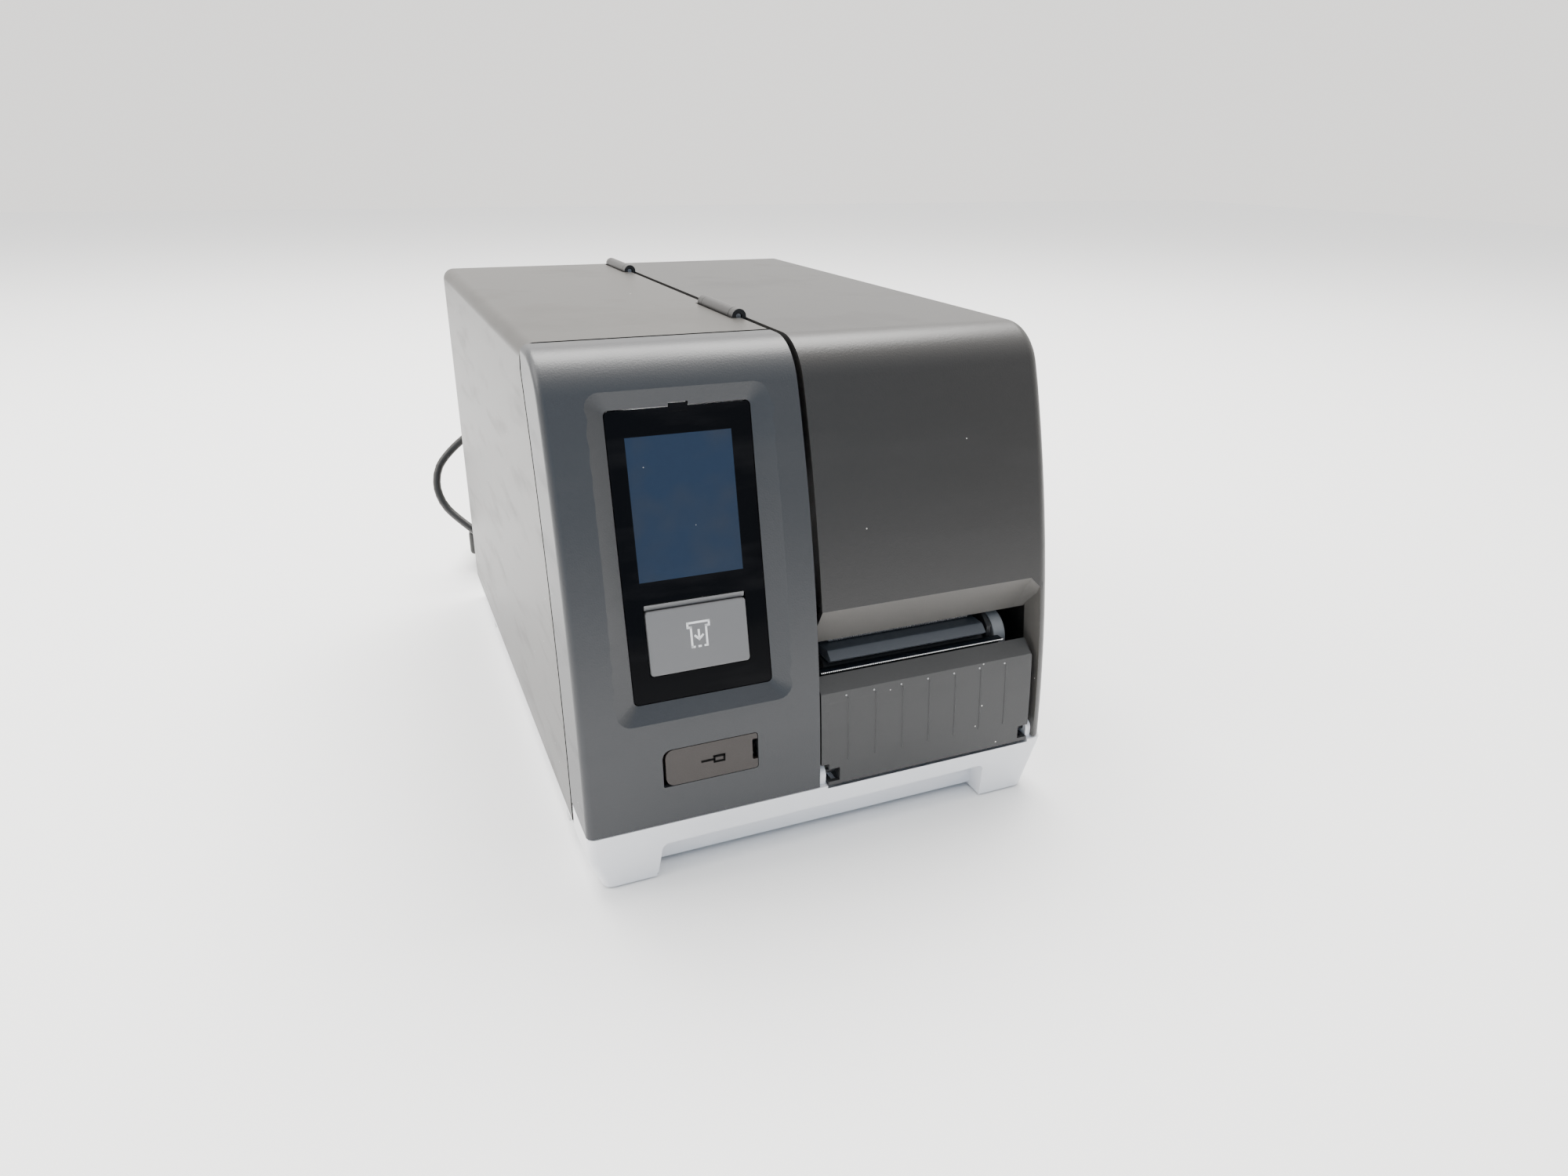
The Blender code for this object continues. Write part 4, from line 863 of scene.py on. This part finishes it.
two_looks(lid, lid_plastic, lip_painted_light, mouth_painted_light)
hand_over(lid, lid_plastic, "media_cover", "cover_plastic", "media_cover", angle=14)
knuckle = join(*knuckles)
knuckle.name = "hinge_knuckles"
round_off(knuckle, 0.5, 2, 50)
hand_over(knuckle, lid_plastic, "media_cover", "cover_plastic")
smoked, tree, shader, dirt = glossy("smoked_pane", 0.5, 0.08)
tint = mix(tree, dirt["Smears"], (0.014, 0.013, 0.013), (0.03, 0.029, 0.028))
tree.links.new(mix(tree, dirt["Specks"], tint, (0.4, 0.39, 0.37)), shader.inputs["Base Color"])
pane = slab("window_pane", "X", rounded(-87.6, 107.6, 92.4, 213.6, 7.6), RIGHT - WALL + 0.4, RIGHT - 0.6)
round_off(pane, 0.5, 3, 50)
hand_over(pane, smoked, "media_cover", "smoked_window", "side_window")

# ---------- left cover
# A bent sheet, coated graphite, that closes the left side and the left half of the top. The two hinge
# barrels stand on the centre wall and come up beside its inner edge.
BEND = 8.0  # outer radius of the sheet's bend
outer = arc((LEFT + BEND, TOP - BEND), BEND, 180, 90, 10)
inner = arc((LEFT + BEND, TOP - BEND), BEND - WALL, 90, 180, 10)
fold = [(LEFT, 19.6), *outer, (BEZEL_EDGE, TOP), (BEZEL_EDGE, TOP - WALL), *inner, (LEFT + WALL, 19.6)]
sheet_cover = slab("left_sheet", "Y", fold, -190.0, REAR)
seam = front_rise(10.0, SEAM_DEPTH + 2.4, 16, SEAM_TOP)
seam += [(-130.4, 276), (-130.4, 290), (-240, 290), (-240, 10)]
cut(sheet_cover, slab("bezel_clearance", "X", seam, LEFT - 5, 0))
for name, (start, end) in HINGES.items():
    cut(sheet_cover, block("hinge_notch", (-15.2, start - 0.8, 260), (0, end + 0.8, 290)))
round_off(sheet_cover, 0.45, 2, 40)
sheet_paint = moulded("sheet_paint", (0.032, 0.029, 0.025), 0.34, grain=1500.0, depth=0.14, dust=0.003)
# Its front edge, in the seam, is painted black as shade, so that the gap reads dark.
two_looks(sheet_cover, sheet_paint, painted_shade_black, lambda middle, normal: normal.y < -0.3)
hand_over(sheet_cover, sheet_paint, "chassis", "cover_plastic", "left_cover", angle=16)
# Black strips just inside the side seam and under the top seam: painted shade, so that the gaps read dark.
strip = [*front_rise(36.0, 33.0, 16, SEAM_TOP), *reversed(front_rise(36.0, 45.0, 16, SEAM_TOP))]
seam_shade_strip = slab("seam_shade_strip", "X", strip, LEFT + 3.2, LEFT + 4.4)
join(seam_shade_strip, block("top_seam_shade", (LEFT + 8, -136, TOP - 4.8), (BEZEL_EDGE - 4, -128, TOP - 3.4)))
round_off(seam_shade_strip, 0.3, 1, 40)
hand_over(seam_shade_strip, painted_shade_black, "chassis", "cover_plastic")
for name, (start, end) in HINGES.items():
    low, high = start + KNUCKLE + GAP, end - KNUCKLE - GAP
    barrel = pillar(f"barrel_{name}", "Y", (HINGE_X, HINGE_Z), HINGE_RADIUS, low, high, 40)
    fuse(barrel, block("barrel_arm", (-14.2, low, 262.3), (-8.2, high, 275.0)))
    cut(barrel, pillar("bore", "Y", (HINGE_X, HINGE_Z), PIN_HOLE, low - 2, high + 2, 20))
    round_off(barrel, 0.5, 2, 50)
    hand_over(barrel, lid_plastic, "chassis", "cover_plastic", f"hinge_barrel_{name}")


def finish_nodes(looks, *nodes):
    """Gives CAD nodes that stay a material."""
    for node in nodes:
        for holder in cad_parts[node].material_slots:
            holder.material = looks


finish_nodes(steel, "hinge_pin_front", "hinge_pin_rear")

# ---------- base
# The tray that everything stands on, moulded in light grey, with an arch between its front feet and
# a round trough for the door. Its ends stand on four rubber pads.
DOOR_AXIS = (-204.0, 38.5)
outline = [(LEFT, 33.0), (LEFT, 18.0), (-135.0, 1.0), (130.5, 1.0), (140.5, 28.0), (RIGHT, 33.0)]
tray = slab("base_tray", "Y", outline, -212.0, REAR)
bevel_edges(5.0, 6, lambda at: abs(at.x) > 128 and abs(at.y) > 211 and 1.5 < at.z < 32.5)
arch = [(-105.7, -1.0), (-102.0, 18.5), (-100.0, 20.6), (98.0, 22.0), (100.0, 20.0), (99.0, -1.0)]
cut(
    tray,
    block("under_middle", (-105.7, -230, -5), (99.0, 230, 3.0)),
    block("under_sides", (-150, -168, -5), (150, 168, 3.0)),
    slab("front_arch", "Y", arch, -217, -200),
    slab("rear_arch", "Y", arch, REAR - 12, REAR + 5),
    block("left_pocket", (-132, -195, 15), (-20, 200, 60)),
    block("right_pocket", (2, -150, 15), (130, 200, 60)),
    block("skirt_recess", (-160, -175.4, 19.2), (-138.6, 230, 60)),
    block("door_sill", (-4.2, -230, 31.4), (130.8, -194, 60)),
    pillar("door_trough", "X", DOOR_AXIS, 10.6, -4.2, 130.8, 48),
)
for start, end in ((-8.2, -4.4), (131.0, 134.4)):
    ear = slab("ear", "X", [(-209.0, 30.0), (-199.0, 30.0), *arc(DOOR_AXIS, 5.0, 0, 180, 12)], start, end)
    fuse(tray, ear)
    cut(tray, pillar("bore", "X", DOOR_AXIS, PIN_HOLE, start - 1, end + 1, 20))
for x, y in ((-120, -190), (115, -190), (-120, 185), (115, 185)):
    cut(tray, pillar("foot_pocket", "Z", (x, y), 9.4, -2, 3.4, 32))
for y, z in ((-156, 13), (118, 14)):
    cut(tray, pillar("screw_pocket", "X", (y, z), 3.8, -147, -137.6, 24))
round_off(tray, 1.0, 3, 32)
light_grey = moulded("light_grey_plastic", (0.9, 0.9, 0.92), 0.42, grain=900.0, depth=0.06, dust=0.002)
hand_over(tray, light_grey, "chassis", "light_grey_plastic", "base")
rubber = moulded("black_rubber", (0.02, 0.02, 0.02), 0.62, grain=700.0, depth=0.1, dust=0.004)
feet = ("foot_front_left", "foot_front_right", "foot_rear_left", "foot_rear_right")
finish_nodes(rubber, *feet, "platen_roller", "drive_belt")
finish_nodes(steel, "side_screw_front", "side_screw_rear")

# ---------- front door
# A flap under the label exit, moulded in satin dark grey with seven thin ribs for peeled labels. It
# drops forward on two pivots in the base's ears.
DOOR_LOW, DOOR_EDGE = 33.2, 90.4  # the foot, and where the front turns back to the tear bar
DOOR_BACK, DOOR_LEFT, DOOR_RIGHT = -199.6, -3.6, 130.0


def leaf(low, steps):
    """The door's wall in side view, from a height up to the tear bar."""
    outside = [*front_rise(low, 0, steps, DOOR_EDGE), (DOOR_BACK, 97.4), (DOOR_BACK, 95.0)]
    return [*outside, *reversed(front_rise(low, 2.5, steps, 88.0))]


door = slab("door_leaf", "X", leaf(DOOR_LOW, 16), DOOR_LEFT, DOOR_RIGHT)
bevel_edges(7.0, 7, lambda at: at.x > 128 and at.z > 89 and at.y > front_y(at.z) - 1)
cheek = [*front_rise(DOOR_LOW, 1.0, 8, 88.0), (-201.5, 94.0), (-201.5, DOOR_LOW)]
fuse(
    door,
    slab("cheek", "X", cheek, DOOR_LEFT, DOOR_LEFT + 2.5),
    slab("cheek", "X", cheek, 127.2, 129.7),
    slab("leaf_end", "X", leaf(47.0, 8), -8.3, -3.0),
)
for start, stop in ((-4.6, 3.2), (123.2, 131.0)):
    cut(door, block("door_notch", (start, -220, 35.4), (stop, -190, 43.6)))
lug = [(-210.0, 33.4), (DOOR_BACK, 33.4), *arc(DOOR_AXIS, 4.4, 0, 180, 12)]
fuse(
    door,
    slab("lug", "X", lug, 3.0, 6.4),
    slab("lug", "X", lug, 120.0, 123.4),
    pillar("pivot", "X", DOOR_AXIS, 1.5, -7.8, 5.0, 20),
    pillar("pivot", "X", DOOR_AXIS, 1.5, 121.0, 134.0, 20),
)
round_off(door, 0.5, 2, 40)
door_grey = moulded("door_plastic", (0.028, 0.0285, 0.0295), 0.4, grain=1000.0, depth=0.12, dust=0.01)
hand_over(door, door_grey, "front_door", "door_plastic", "front_door", angle=20)
RIBS, RIB_PITCH, RIB_LOW, RIB_HIGH = 7, 17.3, 48.0, 86.0
rib_middle = (RIB_LOW + RIB_HIGH) / 2
ribs = []
for rib in range(RIBS):
    x = 8.0 + RIB_PITCH * rib
    crest = [(x - 0.7, 0.1), (x, -0.42), (x + 0.7, 0.1), (x, 0.5)]
    ribs.append(loft(
        "door_rib",
        [(at, front_y(RIB_LOW) + out, RIB_LOW) for at, out in crest],
        [(at, front_y(RIB_HIGH) + out, RIB_HIGH) for at, out in crest],
    ))
    edit()
    bpy.ops.mesh.select_all(action="SELECT")
    bpy.ops.mesh.bisect(plane_co=(0, 0, rib_middle * MM), plane_no=UPWARD)
    choose("VERT", lambda at, vertex: abs(at.z - rib_middle) < 1)
    middle_bow = (front_y(rib_middle) - (front_y(RIB_LOW) + front_y(RIB_HIGH)) / 2) * MM
    bpy.ops.transform.translate(value=(0, middle_bow, 0))
    done()
hand_over(join(*ribs), door_grey, "front_door", "door_plastic")
dots = []
for rib in range(RIBS):
    bpy.ops.mesh.primitive_uv_sphere_add(segments=12, ring_count=8, radius=0.55 * MM)
    bpy.context.object.location = Vector((7.0 + RIB_PITCH * rib, front_y(87.6) - 0.05, 87.6)) * MM
    bpy.context.object.scale = (1, 0.5, 1)
    dots.append(settle("rib_dot"))
dot_grey = moulded("worn_dot", (0.42, 0.42, 0.42), 0.3, dust=0.0)
hand_over(join(*dots), dot_grey, "front_door", "door_plastic")

# ---------- label exit
# What shows in the mouth above the door: the bright tear bar with its fine teeth, the platen under
# it, the print head on its bracket, and the curved lever that lifts the head.
aluminium = metal("rolled_aluminium", (0.72, 0.73, 0.75), 0.36, (12.0, 300.0, 300.0))
bright_steel = metal("ground_steel", (0.86, 0.87, 0.88), 0.2, (16.0, 500.0, 500.0))
bar = [(-198.4, 97.2), (-198.4, 98.6), (-192.6, 98.6), (-192.6, 78.0), (-194.0, 78.0), (-194.0, 97.2)]
tear_bar = slab("tear_strip", "X", bar, -4.0, 115.0)
TOOTH_PITCH = 1.2
tooth = loft(
    "tooth",
    [(-3.9, -198.0, 97.4), (-3.3, -199.1, 98.4), (-2.7, -198.0, 97.4)],
    [(-3.9, -198.0, 98.5), (-3.3, -199.1, 98.55), (-2.7, -198.0, 98.5)],
)
modify(
    tooth,
    "ARRAY",
    count=98,
    use_relative_offset=False,
    use_constant_offset=True,
    constant_offset_displace=(TOOTH_PITCH * MM, 0, 0),
)
round_off(tear_bar, 0.25, 2, 40)
join(tear_bar, tooth)
dull_steel = metal("dull_steel", (0.07, 0.085, 0.11), 0.38, (16.0, 400.0, 400.0))
two_looks(tear_bar, bright_steel, dull_steel, lambda middle, normal: middle.y > -197.6)
hand_over(tear_bar, bright_steel, "chassis", "steel", "tear_bar")

lever_y, lever_z = LEVER = (-176.0, 93.0)
rim = [*arc(LEVER, 15.0, 78, 212, 28), *arc(LEVER, 9.5, 212, 78, 28)]
lever = slab("lift_lever", "X", rim, 114.0, 122.0)
spoke = [(lever_y - 12, lever_z - 3), (lever_y, lever_z - 3), (lever_y, lever_z + 3)]
spoke += [(lever_y - 12, lever_z + 3)]
fuse(
    lever,
    pillar("hub", "X", LEVER, 5.5, 114.0, 122.0, 32),
    slab("spoke", "X", spoke, 114.5, 119.0),
    slab("tab", "X", [(-174.5, 103.0), (-160.0, 107.0), (-160.0, 111.0), (-175.5, 107.4)], 114.5, 121.5),
)
bevel_edges(5.0, 6, lambda at: at.x > 121.5 and (Vector((at.y, at.z)) - Vector(LEVER)).length > 14)
round_off(lever, 0.6, 3, 40)
lever_grey = moulded("lever_plastic", (0.3, 0.3, 0.3), 0.4, grain=900.0, depth=0.05)
hand_over(lever, lever_grey, "head_lever", "light_grey_plastic", "head_lift_lever")

head = slab(
    "head_block",
    "X",
    [(-178.0, 100.6), (-192.0, 100.6), (-195.0, 103.0), (-190.0, 107.2), (-150.0, 107.2), (-150.0, 103.0)],
    3.0,
    105.0,
)
round_off(head, 0.5, 2, 30)
head_metal = moulded("head_cover", (0.06, 0.068, 0.08), 0.4, grain=1000.0, depth=0.08)
hand_over(head, head_metal, "printhead", "aluminium", "printhead")
black_plastic = moulded("black_plastic", (0.018, 0.018, 0.019), 0.45, grain=1000.0, depth=0.12)
finish_nodes(steel, "platen_shaft", "head_pivot_rod", "lower_guide_rod", "motor_bracket", "ribbon_motor")
finish_nodes(aluminium, "centre_wall", "media_bed", "platen_pulley", "motor_pulley")
finish_nodes(black_plastic, "gap_sensor", "bush_left", "bush_right", "idler_roller", "display_module")
board_green = moulded("board_green", (0.012, 0.11, 0.05), 0.35, grain=500.0, depth=0.1)
finish_nodes(board_green, "main_board", "display_board")

# ---------- rear
# A flat steel-backed panel in black, with louvres for the power supply's air, the mains inlet with
# its rocker switch, a network socket and the slot for fan-fold labels.
corners = rounded(-138.4, 138.4, 33.4, 271.4, 1.0, 1.0, 6.0, 6.0)
panel = slab("rear_plate", "Y", corners, 205.4, 208.4)
openings = [
    (-124.4, -95.6, 124.6, 145.4),  # mains inlet
    (-119.4, -100.6, 157.6, 182.4),  # switch
    (-126.0, -109.0, 59.6, 74.4),  # network socket
    (6.0, 124.0, 42.0, 62.0),  # fan-fold labels
]
for left, right, low, high in openings:
    cut(panel, slab("opening", "Y", rounded(left, right, low, high, 1.2), 200, 215))
louvres = []
for column in range(2):
    for row in range(9):
        left, low = -88.0 + 32.0 * column, 150.0 + 9.0 * row
        louvres.append(slab("louvre", "Y", rounded(left, left + 26, low, low + 3.4, 1.6), 200, 215))
cut(panel, join(*louvres))
round_off(panel, 0.4, 2, 40)
rear_black = moulded("rear_black", (0.02, 0.02, 0.021), 0.44, grain=1100.0, depth=0.16, dust=0.006)
hand_over(panel, rear_black, "chassis", "black_plastic", "rear_panel")
screws = []
for x, z in ((-130, 262), (130, 262), (-130, 44), (130, 44), (0, 262), (0, 44)):
    screw = pillar("screw", "Y", (x, z), 3.6, 208.5, 210.2, 28, 2.9)
    slots = [block("slot", (x - 2.0, 209.2, z - 0.4), (x + 2.0, 212, z + 0.4))]
    slots.append(block("slot", (x - 0.4, 209.2, z - 2.0), (x + 0.4, 212, z + 2.0)))
    screws.append(cut(screw, *slots))
hand_over(join(*screws), steel, "chassis", "steel")


def carried(name, node, looks, body, slot, width):
    """A finished copy of a CAD node: merged, with its flat faces made whole and its edges rounded."""
    piece = bpy.data.objects.new(name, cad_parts[node].data.copy())
    bpy.context.scene.collection.objects.link(piece)
    bpy.context.view_layer.objects.active = piece
    piece.data.materials.clear()
    edit("VERT")
    bpy.ops.mesh.select_all(action="SELECT")
    bpy.ops.mesh.remove_doubles(threshold=0.00001)
    bpy.ops.mesh.dissolve_limited(angle_limit=math.radians(0.5))
    done()
    bpy.ops.mesh.customdata_custom_splitnormals_clear()
    round_off(piece, width, 2, 40)
    return hand_over(piece, looks, body, slot, node)


BLACK, STEEL = (black_plastic, "black_plastic"), (steel, "steel")
ALUMINIUM, GREY = (aluminium, "aluminium"), (light_grey, "light_grey_plastic")
for name, node, (looks, slot), body, width in (
    ("inlet_socket", "power_inlet", BLACK, "chassis", 0.6),
    ("switch_frame", "switch_housing", BLACK, "chassis", 0.5),
    ("switch_rocker", "power_switch", BLACK, "power_switch", 0.5),
    ("network_shell", "network_jack", STEEL, "chassis", 0.3),
    ("port_shell", "usb_socket", STEEL, "chassis", 0.3),
    ("mechanism_plate", "mechanism_side_plate", BLACK, "chassis", 0.5),
    ("head_bracket", "printhead_bracket", STEEL, "printhead", 0.3),
    ("stepper", "stepper_motor", ALUMINIUM, "chassis", 0.6),
    ("supply_can", "power_supply", ALUMINIUM, "chassis", 0.6),
    ("label_hanger", "media_hanger", BLACK, "chassis", 1.0),
    ("edge_disc", "media_edge_guide", BLACK, "edge_guide", 0.8),
    ("lower_guide", "lower_media_guide", GREY, "lower_guide", 0.8),
    ("rewind_core", "ribbon_rewind_spindle", BLACK, "ribbon_rewind", 0.5),
    ("supply_core", "ribbon_supply_spindle", BLACK, "ribbon_supply", 0.5),
):
    carried(name, node, looks, body, slot, width)
